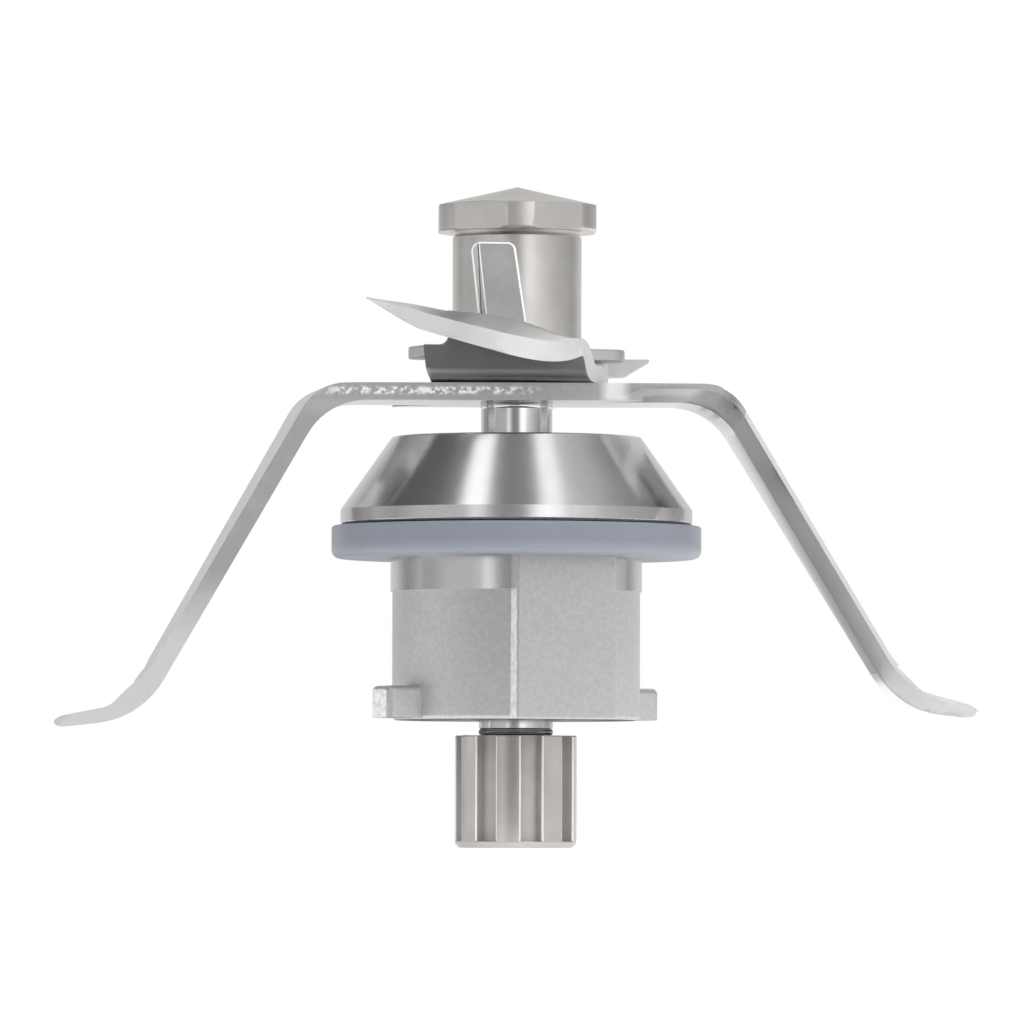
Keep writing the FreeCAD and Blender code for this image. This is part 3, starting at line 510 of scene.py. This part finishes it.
def soften(piece: Piece, width: float, segments: int = 2, flat_angle: float = 0.4,
           clamp: bool = True) -> None:
    """Rounds a piece's sharp edges a little.

    Args:
        piece: The piece to finish.
        width: Width of the round.
        segments: Faces across each round.
        flat_angle: Faces within this many degrees of each other are joined first.
        clamp: Narrows the rounds where short edges leave no room.
    """
    reshape(piece.data, lambda tool: bmesh.ops.dissolve_limit(
        tool, angle_limit=math.radians(flat_angle), verts=tool.verts, edges=tool.edges))
    modifier = piece.modifiers.new("edge_round", "BEVEL")
    modifier.width = width * MM
    modifier.segments = segments
    modifier.limit_method = "ANGLE"
    modifier.angle_limit = math.radians(SHARP_DEG)
    modifier.use_clamp_overlap = clamp
    modifier.miter_outer = "MITER_ARC"
    flatten(piece)


def shade(piece: Piece, angle: float = 30.0) -> None:
    """Shades a piece smooth, with large faces kept flat.

    Args:
        piece: The piece to shade.
        angle: Edges sharper than this many degrees stay sharp.
    """
    piece.data.shade_smooth()
    piece.data.set_sharp_from_angle(angle=math.radians(angle))
    modifier = piece.modifiers.new("even_shade", "WEIGHTED_NORMAL")
    modifier.mode = "FACE_AREA_WITH_ANGLE"
    modifier.keep_sharp = True
    flatten(piece)


def paint(piece: Piece, finishes: Sequence[Finish], choose: Chooser | None = None) -> None:
    """Gives a piece its finishes.

    Args:
        piece: The piece to paint.
        finishes: The finishes that it uses.
        choose: Takes a face's centre, in millimetres, and normal and returns a finish's index.
    """
    mesh = piece.data
    mesh.materials.clear()
    for finish in finishes:
        mesh.materials.append(material_of(finish))
    if choose is None:
        return
    for polygon in mesh.polygons:
        polygon.material_index = choose(polygon.center / MM, polygon.normal)


def seat(piece: Piece, body: str, node: str) -> None:
    """Hands a finished piece to its body in place of its model node.

    Args:
        piece: The finished piece.
        body: The body that it rides on.
        node: The model node that it stands for.
    """
    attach(piece, body)
    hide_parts(node)
    LOG.info("%s on %s: %d faces", piece.name, body, len(piece.data.polygons))


def coat(node: str, finish: Finish) -> None:
    """Gives a model node that stays as it is its finish.

    Args:
        node: The model node.
        finish: The finish that it gets.
    """
    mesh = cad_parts[node].data
    if not mesh.materials:
        mesh.materials.append(None)
    for index in range(len(mesh.materials)):
        mesh.materials[index] = material_of(finish)
    LOG.info("%s keeps its solid, finished in %s", node, finish.name)


def rounded(points: Sequence[Span], radii: Sequence[float], steps: int) -> list[Span]:
    """Rounds the corners of a closed profile.

    Args:
        points: Corners as radius and height.
        radii: Rounding of each corner, 0 for a sharp one.
        steps: Points along each round.

    Returns:
        The profile's points.
    """
    made: list[Span] = []
    count = len(points)
    for index, radius in enumerate(radii):
        corner = Vector(points[index])
        before = (Vector(points[index - 1]) - corner).normalized()
        after = (Vector(points[(index + 1) % count]) - corner).normalized()
        if radius <= 0:
            made.append(tuple(corner))
            continue
        half = 0.5 * before.angle(after)
        reach = radius / math.tan(half)
        centre = corner + (before + after).normalized() * (radius / math.sin(half))
        start = corner + before * reach - centre
        end = corner + after * reach - centre
        sweep = start.angle_signed(end)
        for step in range(steps + 1):
            turn = -sweep * step / steps
            cosine, sine = math.cos(turn), math.sin(turn)
            made.append((centre.x + start.x * cosine - start.y * sine,
                         centre.y + start.x * sine + start.y * cosine))
    return made


def lathe(name: str, profile: Sequence[Span], segments: int = 256) -> Piece:
    """Turns a closed profile about the shaft axis.

    Args:
        name: Name of the new piece.
        profile: Radius and height of each point, all off the axis.
        segments: Steps round the axis.

    Returns:
        The new piece, linked to the scene.
    """
    rows = len(profile)
    points, faces = [], []
    for step in range(segments):
        angle = step * (math.tau / segments)
        points += [(radius * math.cos(angle), radius * math.sin(angle), height) for radius, height in profile]
        here, there = step * rows, ((step + 1) % segments) * rows
        for row in range(rows):
            after = (row + 1) % rows
            faces.append((here + row, there + row, there + after, here + after))
    piece = piece_of(name, points, faces)
    reshape(piece.data, lambda tool: bmesh.ops.recalc_face_normals(tool, faces=tool.faces))
    return piece


class TreeRecipe:
    """A tree of geometry nodes with named sizes, run once on a piece."""

    def __init__(self, name: str) -> None:
        """Starts an empty tree.

        Args:
            name: The tree's name.
        """
        self.tree = bpy.data.node_groups.new(name, "GeometryNodeTree")
        self.graph = Graph(self.tree)
        for side in ("INPUT", "OUTPUT"):
            self.tree.interface.new_socket("Geometry", in_out=side, socket_type="NodeSocketGeometry")
        self.values: dict[str, Any] = {}

    def size(self, name: str, value: Any, kind: str = "NodeSocketFloat") -> None:
        """Adds a named input and the value that it will be given."""
        socket = self.tree.interface.new_socket(name, in_out="INPUT", socket_type=kind)
        self.values[socket.identifier] = value

    def enter(self) -> bpy.types.Node:
        """Adds the tree's input node, once all sizes are named."""
        return self.graph.add("NodeGroupInput")

    def leave(self, geometry: Socket, finish: Finish) -> None:
        """Ends the tree in plain, finished geometry.

        Args:
            geometry: What the tree has made.
            finish: The finish that it gets.
        """
        real = self.graph.add("GeometryNodeRealizeInstances", {"Geometry": geometry})
        done = self.graph.add("GeometryNodeSetMaterial", {
            "Geometry": real.outputs[0], "Material": material_of(finish)})
        self.graph.add("NodeGroupOutput", {0: done.outputs[0]})

    def run(self, piece: Piece) -> None:
        """Runs the tree on a piece and keeps the result as its mesh.

        Args:
            piece: The piece to change.
        """
        modifier = piece.modifiers.new(self.tree.name, "NODES")
        modifier.node_group = self.tree
        for identifier, value in self.values.items():
            modifier[identifier] = value
        flatten(piece)


@dataclass
class BearingHousing:
    """The casting with its seal ring, shaft seal, distance tube and circlip."""

    foot: float = 17.2
    foot_rise: float = 0.3
    ledge: float = 34.6
    ledge_rise: float = 0.05
    neck_radius: float = 17.0
    neck_margin: float = 0.02
    inner_radius: float = 13.8
    key_turn_deg: float = 23.2
    facing: float = 0.9
    lip_bottom: float = 43.6
    lip_drop: float = 0.1
    cast_deg: float = 25.0
    seal_bottom: float = 39.05
    seal_height: float = 4.4
    seal_inner: float = 16.55
    seal_outer: float = 25.0
    seal_rounds: tuple[float, ...] = (0.2, 1.1, 0.4, 0.2)
    seal_steps: int = 10
    seal_deg: float = 35.0

    def finish_of(self, centre: Vector, normal: Vector) -> int:
        """Tells the casting's finishes apart.

        Args:
            centre: The face's centre.
            normal: The face's normal.

        Returns:
            0 for cast skin, 1 for a turned and polished face, 2 for the key block's side, parting flash
            painted near white as a painted highlight, 3 for the rough foot, painted dark as shade.
        """
        radius = math.hypot(centre.x, centre.y)
        turn = math.radians(self.key_turn_deg)
        side = -normal.x * math.cos(turn) - normal.y * math.sin(turn)
        # The key block's side that faces left, below the ledge, gets parting flash and a painted highlight.
        if side > self.facing and centre.z < self.ledge and radius > self.neck_radius and centre.y < 0:
            return 2
        # The foot faces down and is painted dark as shade.
        if normal.z < -self.facing and centre.z < self.foot + self.foot_rise:
            return 3
        if centre.z > self.lip_bottom - self.lip_drop:
            return 1
        if centre.z > self.ledge + self.ledge_rise and radius < self.neck_radius + self.neck_margin:
            return 1
        return 1 if radius < self.inner_radius else 0

    def build(self) -> None:
        """Dresses the casting and makes the seal ring."""
        casting = merged_copy("bearing_housing", "housing_casting")
        reshape(casting.data, lambda tool: cut_across(tool, (0, 0, self.ledge), (0, 0, 1)))
        shade(casting, self.cast_deg)
        paint(casting, (CAST_SKIN, POLISHED_CASTING, CAST_FLASH_HIGHLIGHT, CAST_FOOT_SHADE), self.finish_of)
        seat(casting, "housing", "bearing_housing")
        top = self.seal_bottom + self.seal_height
        corners = [(self.seal_inner, self.seal_bottom), (self.seal_outer, self.seal_bottom),
                   (self.seal_outer, top), (self.seal_inner, top)]
        ring = lathe("seal_ring", rounded(corners, self.seal_rounds, self.seal_steps))
        shade(ring, self.seal_deg)
        paint(ring, (SILICONE,))
        seat(ring, "housing", "bowl_seal")
        coat("shaft_seal", ELASTOMER)
        coat("seal_spring", SPRING_WIRE)
        coat("distance_tube", BRIGHT_TURNED)
        circlip = merged_copy("housing_circlip", "retaining_ring")
        soften(circlip, FINE_ROUND)
        shade(circlip)
        paint(circlip, (SPRING_WIRE,))
        seat(circlip, "housing", "housing_circlip")


@dataclass
class BallBearings:
    """Two sealed ball bearings, whose balls are laid out by rule."""

    ball_count: int = 7
    ball_radius: float = 2.381
    ball_steps: int = 4
    pitch_radius: float = 9.0
    first_ball_deg: float = -90.0
    middles: dict[str, float] = field(default_factory=lambda: {"lower": 23.5, "upper": 39.5})

    def balls(self, side: str, height: float) -> None:
        """Lays out one bearing's balls on their pitch circle.

        Args:
            side: Which bearing.
            height: Height of its middle.
        """
        recipe = TreeRecipe(side + "_ball_layout")
        recipe.size("Ball count", self.ball_count, "NodeSocketInt")
        recipe.size("Ball radius", self.ball_radius * MM)
        recipe.size("Pitch radius", self.pitch_radius * MM)
        recipe.size("Height", height * MM)
        sizes = recipe.enter().outputs
        graph = recipe.graph
        circle = graph.add("GeometryNodeMeshCircle", {
            "Vertices": sizes["Ball count"], "Radius": sizes["Pitch radius"]})
        lift = graph.add("ShaderNodeCombineXYZ", {"Z": sizes["Height"]})
        turned = graph.add("GeometryNodeTransform", {
            "Geometry": circle.outputs[0], "Translation": lift.outputs[0],
            "Rotation": (0.0, 0.0, math.radians(self.first_ball_deg))})
        ball = graph.add("GeometryNodeMeshIcoSphere", {
            "Radius": sizes["Ball radius"], "Subdivisions": self.ball_steps})
        smooth = graph.add("GeometryNodeSetShadeSmooth", {"Geometry": ball.outputs[0]})
        spread = graph.add("GeometryNodeInstanceOnPoints", {
            "Points": turned.outputs[0], "Instance": smooth.outputs[0]})
        recipe.leave(spread.outputs[0], BEARING_STEEL)
        piece = piece_of(side + "_balls")
        recipe.run(piece)
        seat(piece, side + "_ball_train", side + "_bearing_balls")

    def build(self) -> None:
        """Makes the balls and finishes the rings, cages and shields."""
        for side, height in self.middles.items():
            self.balls(side, height)
            for part in ("outer_ring", "inner_ring", "shields"):
                coat(side + "_bearing_" + part, BEARING_STEEL)
            coat(side + "_bearing_cage", CAGE_PLASTIC)


@dataclass
class DriveEnd:
    """The shaft with its splined coupling, the coupling's pin and the snap ring."""

    outer_radius: float = 8.225
    root_radius: float = 6.8
    height: float = 15.15
    bottom_chamfer: float = 0.6
    top_chamfer: float = 0.15
    mouth_radius: float = 5.2
    mouth_depth: float = 1.2
    bore: float = 4.05
    corner_rounds: tuple[float, ...] = (0.15, 0.25, 0.2, 0.0, 0.0, 0.06, 0.06, 0.1, 0.0, 0.0)
    corner_steps: int = 4
    teeth: int = 8
    groove_deg: float = 20.2
    tooth_turn_deg: float = -97.2
    tooth_edge_round: float = 0.3
    foot_ring: float = 0.85
    foot_step: float = 0.08
    segments: int = 1440
    tooth_deg: float = 32.0
    end_facing: float = 0.5
    floor_margin: float = 0.05
    top_margin: float = 0.008
    shoulder_top: float = 16.9
    shoulder_radius: float = 4.4
    shoulder_drop: float = 0.3

    def finish_of(self, centre: Vector, normal: Vector) -> int:
        """Tells the coupling's finishes apart.

        Args:
            centre: The face's centre.
            normal: The face's normal.

        Returns:
            1 for a groove's floor and walls, painted darker as shade, 2 for a tooth's corner, painted as a
            highlight, and 0 for the rest.
        """
        radius = math.hypot(centre.x, centre.y)
        in_bore = radius < self.root_radius - self.floor_margin
        if centre.z < self.foot_ring or abs(normal.z) > self.end_facing or in_bore:
            return 0
        if radius < self.outer_radius - self.tooth_edge_round:
            # Groove floors and walls get painted shade.
            return 1
        # The teeth's corners get a painted highlight.
        return 2 if radius < self.outer_radius - self.top_margin else 0

    def mill(self, piece: Piece) -> None:
        """Cuts the grooves between the teeth and rounds the teeth's corners.

        Args:
            piece: The turned coupling.
        """
        recipe = TreeRecipe("spline_grooves")
        recipe.size("Teeth", float(self.teeth))
        recipe.size("Root radius", self.root_radius * MM)
        recipe.size("Groove share", self.groove_deg * self.teeth / 360.0)
        recipe.size("First tooth turn", math.radians(self.tooth_turn_deg))
        recipe.size("Edge round", self.tooth_edge_round * MM)
        recipe.size("Edge share", self.tooth_edge_round / self.outer_radius * self.teeth / math.tau)
        recipe.size("Foot ring", (self.foot_ring + 0.5 * self.foot_step) * MM)
        sizes = recipe.enter().outputs
        graph = recipe.graph
        place = graph.add("GeometryNodeInputPosition").outputs[0]
        x, y, z = graph.add("ShaderNodeSeparateXYZ", {0: place}).outputs
        angle = graph.math("SUBTRACT", graph.math("ARCTAN2", y, x), sizes["First tooth turn"])
        turns = graph.times(graph.math("DIVIDE", angle, math.tau), sizes["Teeth"])
        share = graph.math("FRACT", graph.math("ADD", turns, sizes["Teeth"]))
        off_middle = graph.math("ABSOLUTE", graph.math("SUBTRACT", share, 0.5))
        past_edge = graph.math("SUBTRACT", off_middle, graph.times(sizes["Groove share"], 0.5))
        above_foot = graph.math("GREATER_THAN", z, sizes["Foot ring"])
        in_groove = graph.times(graph.math("LESS_THAN", past_edge, 0.0), above_foot)
        near = graph.math("SUBTRACT", 1.0, graph.math("DIVIDE", past_edge, sizes["Edge share"]))
        near = graph.math("MAXIMUM", near, 0.0)
        arc = graph.math("MAXIMUM", graph.math("SUBTRACT", 1.0, graph.times(near, near)), 0.0)
        fall = graph.math("SUBTRACT", 1.0, graph.math("SQRT", arc))
        drop = graph.times(graph.times(sizes["Edge round"], fall), above_foot)
        radius = graph.math("SQRT", graph.math("ADD", graph.times(x, x), graph.times(y, y)))
        shrink = graph.math("MINIMUM", graph.math("DIVIDE", sizes["Root radius"], radius), 1.0)
        full = graph.math("SUBTRACT", 1.0, graph.math("DIVIDE", drop, radius))
        scale = graph.math("ADD", graph.times(in_groove, shrink),
                           graph.times(graph.math("SUBTRACT", 1.0, in_groove), full))
        moved = graph.add("ShaderNodeCombineXYZ", {0: graph.times(x, scale), 1: graph.times(y, scale), 2: z})
        shaped = graph.add("GeometryNodeSetPosition", {
            "Geometry": sizes["Geometry"], "Position": moved.outputs[0]})
        recipe.leave(shaped.outputs[0], MILLED_TEETH)
        recipe.run(piece)

    def build(self) -> None:
        """Makes the coupling by its tooth rule and finishes the small parts."""
        corners = [
            (self.mouth_radius, 0), (self.outer_radius - self.bottom_chamfer, 0),
            (self.outer_radius, self.bottom_chamfer), (self.outer_radius, self.foot_ring),
            (self.outer_radius, self.foot_ring + self.foot_step),
            (self.outer_radius, self.height - self.top_chamfer),
            (self.outer_radius - self.top_chamfer, self.height), (self.bore, self.height),
            (self.bore, self.mouth_depth), (self.mouth_radius, self.mouth_depth)]
        profile = rounded(corners, self.corner_rounds, self.corner_steps)
        coupling = lathe("drive_coupling_teeth", profile, self.segments)
        self.mill(coupling)
        shade(coupling, self.tooth_deg)
        paint(coupling, (MILLED_TEETH, MILLED_FLOOR_SHADE, TOOTH_CORNER_HIGHLIGHT), self.finish_of)
        seat(coupling, "rotor", "drive_coupling")
        coat("coupling_pin", BRIGHT_TURNED)
        coat("snap_ring", SPRING_WIRE)
        shaft = merged_copy("shaft", "drive_shaft")
        for vertex in shaft.data.vertices:
            past = math.hypot(vertex.co.x, vertex.co.y) > self.shoulder_radius * MM
            if past and vertex.co.z < self.shoulder_top * MM:
                vertex.co.z -= self.shoulder_drop * MM
        soften(shaft, FINE_ROUND)
        shade(shaft)
        paint(shaft, (BRIGHT_TURNED,))
        seat(shaft, "rotor", "shaft")


@dataclass
class Blades:
    """Long lower blade, sickle blade, washer and paddle plate."""

    wall_slope: float = 0.1
    bevel_side: Span = (0.15, 0.85)
    sheet_round: float = 0.14
    tip_reach: float = 62.4
    tip_noses: Span = (1.6, 2.3)
    tip_nose_heights: Span = (16.9, 18.5)
    tip_rows: int = 12
    tip_flatness: float = 0.06
    knee_past: float = -47.0
    knee_height: float = 22.8
    knee_span: float = 1.9
    knee_shift: float = 0.5
    knee_front: float = 3.0
    knee_fade: float = 1.5
    hollow_top: float = 58.0
    tip_underside_top: float = 31.0
    wing_round: float = 0.1
    wing_flat_deg: float = 0.02
    lug_foot: float = 70.0
    lug_round: float = 0.28
    lug_segments: int = 4
    lug_flats: int = 8
    flat_cosine: float = 0.993

    def long_blade_finish(self, centre: Vector, normal: Vector) -> int:
        """Tells the long blade's finishes apart.

        Args:
            centre: The face's centre.
            normal: The face's normal.

        Returns:
            0 for the sheet's own face, 1 for a ground bevel, 2 for a cut wall, 3 for the up-facing hollow
            over a leading edge, painted lighter as a highlight, and 4 for the tips' underside, painted
            lighter as a highlight.
        """
        if abs(normal.z) < self.wall_slope:
            return 2
        if self.bevel_side[0] < abs(normal.y) < self.bevel_side[1]:
            # Up-facing bevels on the limbs get a painted highlight.
            return 3 if normal.z > 0 and centre.z < self.hollow_top else 1
        # The tips' underside gets a painted highlight.
        return 4 if normal.z < -self.wall_slope and centre.z < self.tip_underside_top else 0

    def round_tips(self, tool: bmesh.types.BMesh) -> None:
        """Draws the long blade's two ends down to blunt noses and eases its left knee.

        Args:
            tool: The long blade's mesh.
        """
        for side, nose, middle in zip((-1.0, 1.0), self.tip_noses, self.tip_nose_heights):
            for row in range(self.tip_rows):
                reach = self.tip_reach - nose * (1.0 - math.sin(0.5 * math.pi * row / self.tip_rows))
                cut_across(tool, (side * reach, 0, 0), (side, 0, 0))
            for vertex in tool.verts:
                past = (side * vertex.co.x / MM - self.tip_reach + nose) / nose
                if past > 0:
                    thin = math.sqrt(max(self.tip_flatness, 1.0 - past * past))
                    vertex.co.z = (middle + (vertex.co.z / MM - middle) * thin) * MM
        for vertex in tool.verts:
            place = vertex.co / MM
            if place.x < self.knee_past and place.y > self.knee_front:
                near = math.exp(-((place.z - self.knee_height) / self.knee_span) ** 2)
                share = min(1.0, (place.y - self.knee_front) / self.knee_fade)
                vertex.co.x += self.knee_shift * near * share * MM

    def lug_rim_highlights(self, piece: Piece) -> Chooser:
        """Tells the rounds of the paddle's upright lugs, which get a painted highlight, from their flat
        faces.

        Args:
            piece: The paddle.

        Returns:
            A function of a face's centre and normal, 1 for a round, painted as a highlight, and 0 for the
            rest.
        """
        spread: dict[tuple[float, ...], Vector] = {}
        for polygon in piece.data.polygons:
            if polygon.center.z > self.lug_foot * MM:
                key = tuple(round(part, 1) for part in polygon.normal)
                spread[key] = spread.get(key, Vector()) + polygon.normal * polygon.area
        largest = sorted(spread.values(), key=lambda total: total.length)[-self.lug_flats:]
        flats = [total.normalized() for total in largest]

        def choose(centre: Vector, normal: Vector) -> int:
            """Returns the finish of one face."""
            flat = max(normal.dot(direction) for direction in flats) > self.flat_cosine
            return 0 if flat or centre.z < self.lug_foot else 1

        return choose

    def sickle_finish(self, centre: Vector, normal: Vector) -> int:
        """Tells the sickle blade's finishes apart.

        Args:
            centre: The face's centre.
            normal: The face's normal.

        Returns:
            1 for a cut wall, 2 for the raised wing's underside, painted darker as shade, and 0 for the
            sheet's other faces.
        """
        if abs(normal.z) < self.wall_slope:
            return 1
        # The raised wing's underside is painted darker as shade.
        return 2 if normal.z < 0 and centre.y < 0 else 0

    def build(self) -> None:
        """Dresses the three blades and the washer."""
        long_blade = merged_copy("lower_blade", "long_blade")
        soften(long_blade, self.sheet_round)
        reshape(long_blade.data, self.round_tips)
        shade(long_blade)
        finishes = (SATIN_SHEET, GROUND_EDGE, CUT_EDGE, GROUND_HOLLOW_HIGHLIGHT, UNDER_SHEET_HIGHLIGHT)
        paint(long_blade, finishes, self.long_blade_finish)
        seat(long_blade, "rotor", "lower_blade")
        sickle = merged_copy("upper_blade", "sickle_blade")
        soften(sickle, self.wing_round, flat_angle=self.wing_flat_deg)
        shade(sickle)
        paint(sickle, (SATIN_WING, GROUND_RIM, UNDER_WING_SHADE), self.sickle_finish)
        seat(sickle, "rotor", "upper_blade")
        paddle = merged_copy("paddle_plate", "paddle_bar")
        soften(paddle, self.lug_round, self.lug_segments, clamp=False)
        shade(paddle)
        # The lugs' rounds get a painted highlight.
        paint(paddle, (SATIN_PLATE, RIM_HIGHLIGHT), self.lug_rim_highlights(paddle))
        seat(paddle, "rotor", "paddle_plate")
        coat("blade_washer", SATIN_TURNED)


@dataclass
class CapNut:
    """Hexagonal cap nut with a conical top and a long barrel."""

    edge_round: float = 0.14
    corner_deg: float = 18.0

    def build(self) -> None:
        """Dresses the nut."""
        nut = merged_copy("cap_nut", "cap_nut_turned")
        soften(nut, self.edge_round)
        shade(nut, self.corner_deg)
        paint(nut, (SATIN_TURNED,))
        seat(nut, "rotor", "cap_nut")


HORIZON = (
    (-180, 1.1), (-154, 0.8), (-138, 0.5), (-123, 0.35), (-108, 0.5), (-86, 0.38), (-64, 0.55),
    (-44, 0.54), (-34, 0.6), (-27, 1.1), (-22, 0.95), (-16, 0.45), (-9, 0.27), (4, 0.35), (9, 0.8),
    (13, 1.4), (18, 1.65), (27, 1.5), (36, 0.95), (48, 0.74), (62, 0.54), (78, 0.42), (97, 0.42),
    (113, 0.3), (133, 0.45), (154, 0.95), (180, 1.1))
OVERHEAD = (
    (-90, 0.8), (-60, 0.35), (-49, 0.1), (-36, 0.15), (-25, 0.28), (-21.5, 1.6), (-14, 1.6), (-11, 0.4),
    (-4, 0.27), (3, 0.3), (8.5, 0.42), (12.5, 1.4), (18.5, 1.4), (22.5, 0.72), (30, 0.6), (45, 0.28),
    (50, 0.9), (60, 0.6), (90, 0.8))


@dataclass
class Studio:
    """Pale floor, soft light all round and the camera."""

    camera_distance: float = 1268.0
    camera_height: float = 1.5
    camera_clip: Span = (10.0, 20000.0)
    aim: Point = (-0.6, 0.0, 45.4)
    roll_deg: float = 0.15
    focal_pixels: float = 9380.0
    picture_pixels: float = 1024.0
    sensor: float = 36.0
    floor_size: float = 4000.0
    floor_level: float = 0.88
    floor_roughness: float = 0.9
    floor_gloss: float = 0.1
    glow_reach: Span = (500.0, 1700.0)
    glow: Span = (0.34, 0.75)
    card_height: float = 1.0
    overhead_rise: Stops = ((0.12, 0.0), (0.42, 1.0))
    back_rise: Stops = ((0.55, 0.0), (0.95, 1.0))
    back_level: float = 0.72
    least_height: float = 0.001

    def aimed(self, name: str, data: bpy.types.ID, place: Point) -> Piece:
        """Puts a camera or lamp in its place, looking at the knife.

        Args:
            name: Its name.
            data: The camera or lamp itself.
            place: Where it stands.

        Returns:
            The new scene object.
        """
        made = linked(name, data)
        made.location = Vector(place) * MM
        made.rotation_mode = "QUATERNION"
        made.rotation_quaternion = (Vector(self.aim) * MM - made.location).to_track_quat("-Z", "Y")
        return made

    def camera(self) -> None:
        """Sets the camera at the photograph's angle."""
        data = bpy.data.cameras.new("camera")
        data.sensor_width = self.sensor
        data.lens = self.sensor * self.focal_pixels / self.picture_pixels
        data.clip_start, data.clip_end = (end * MM for end in self.camera_clip)
        camera = self.aimed("camera", data, (0.0, -self.camera_distance, self.camera_height))
        roll = Quaternion((0.0, 0.0, 1.0), math.radians(self.roll_deg))
        camera.rotation_quaternion = camera.rotation_quaternion @ roll
        bpy.context.scene.camera = camera

    @staticmethod
    def plane(name: str, low: Span, high: Span, height: float) -> Piece:
        """Lays a level rectangle between two corners, given as X and Y in millimetres."""
        corners = (low, (high[0], low[1]), high, (low[0], high[1]))
        return piece_of(name, [(*corner, height) for corner in corners], [(0, 1, 2, 3)])

    def floor(self) -> None:
        """Lays the pale floor that the knife stands on."""
        half = 0.5 * self.floor_size
        floor = self.plane("floor", (-half, -half), (half, half), 0.0)
        material, graph, shader, place = new_surface("pale_floor")
        reach = graph.add("ShaderNodeVectorMath", {0: place}, operation="LENGTH").outputs["Value"]
        graph.feed(shader, {
            "Base Color": (*[self.floor_level] * 3, 1.0), "Roughness": self.floor_roughness,
            "Specular IOR Level": self.floor_gloss, "Emission Color": (*WHITE, 1.0),
            "Emission Strength": graph.spread(reach, self.glow_reach, *self.glow)})
        floor.data.materials.append(material)

    def card(self, name: str, low: Span, high: Span, near: float, far: float,
             fade: Span = (0.0, 1.0)) -> None:
        """Lays a card on the floor that only the knife's own reflections show.

        Args:
            name: Name of the card.
            low: Its least X and Y.
            high: Its greatest X and Y.
            near: How light it is towards the camera.
            far: How light it is away from the camera.
            fade: Y where it starts and ends to change from one to the other.
        """
        card = self.plane(name, low, high, self.card_height)
        material, graph, shader, place = new_surface(name)
        depth = graph.add("ShaderNodeSeparateXYZ", {0: place}).outputs["Y"]
        grey = graph.spread(depth, fade, near, far)
        graph.feed(shader, {"Base Color": grey, "Roughness": 1.0, "Specular IOR Level": 0.0})
        card.data.materials.append(material)
        for ray in ("camera", "diffuse", "shadow", "transmission"):
            setattr(card, "visible_" + ray, False)

    def surroundings(self) -> None:
        """Builds the light tent as a world: a horizon band, overhead strips and an even back."""
        world = bpy.data.worlds.new("light_tent")
        bpy.context.scene.world = world
        world.use_nodes = True
        world.node_tree.nodes.clear()
        graph = Graph(world.node_tree)
        where = graph.add("ShaderNodeTexCoord").outputs["Generated"]
        x, y, z = graph.add("ShaderNodeSeparateXYZ", {0: where}).outputs
        azimuth = graph.math("ARCTAN2", x, graph.times(y, -1.0))
        lean = graph.math("ARCTAN2", x, graph.math("MAXIMUM", z, self.least_height))
        horizon, overhead = (self.band(graph, *band) for band in ((azimuth, HORIZON), (lean, OVERHEAD)))
        sky = graph.mix(graph.ramp(z, self.overhead_rise), horizon, overhead)
        sky = graph.mix(graph.ramp(y, self.back_rise), sky, (self.back_level,) * 3)
        camera_ray = graph.add("ShaderNodeLightPath").outputs["Is Camera Ray"]
        sky = graph.mix(camera_ray, sky, WHITE)
        background = graph.add("ShaderNodeBackground", {"Color": sky, "Strength": 1.0})
        graph.add("ShaderNodeOutputWorld", {"Surface": background.outputs[0]})

    @staticmethod
    def band(graph: Graph, angle: Socket, stops: Stops) -> Socket:
        """Adds a ramp over one full turn, whose stops are given in degrees, and returns its output."""
        around = graph.math("MULTIPLY_ADD", angle, 1.0 / math.tau, 0.5)
        return graph.ramp(around, [((degrees + 180.0) / 360.0, level) for degrees, level in stops])

    def lamp(self, name: str, place: Point, size: float, power: float, tint: Colour = WHITE) -> None:
        """Adds one square soft lamp aimed at the knife.

        Args:
            name: Name of the lamp.
            place: Where it stands.
            size: Side of its panel.
            power: Its power in watts.
            tint: Its colour.
        """
        data = bpy.data.lights.new(name, "AREA")
        data.size = size * MM
        data.energy = power
        data.color = tint
        self.aimed(name, data, place).visible_glossy = False

    def build(self) -> None:
        """Sets up the whole studio."""
        scene = bpy.context.scene
        scene.view_settings.view_transform = "Standard"
        scene.view_settings.look = "None"
        self.camera()
        self.floor()
        self.card("front_card", low=(-260, -700), high=(260, -60), near=0.11, far=0.11)
        self.card("back_left_card", low=(-220, 22), high=(24, 260), near=1.0, far=0.5, fade=(38, 82))
        self.surroundings()
        self.lamp("soft_left", place=(-700, -700, 500), size=500, power=4.0)
        self.lamp("soft_right", place=(750, -600, 450), size=450, power=5.0, tint=(1.0, 0.985, 0.96))


def main() -> None:
    """Builds the studio and each sub-assembly in order."""
    logging.basicConfig(level=logging.INFO, format="%(name)s: %(message)s")
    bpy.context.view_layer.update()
    for assembly in (BearingHousing(), BallBearings(), DriveEnd(), Blades(), CapNut(), Studio()):
        LOG.info("building %s", type(assembly).__name__)
        assembly.build()


if __name__ == "__main__":
    main()
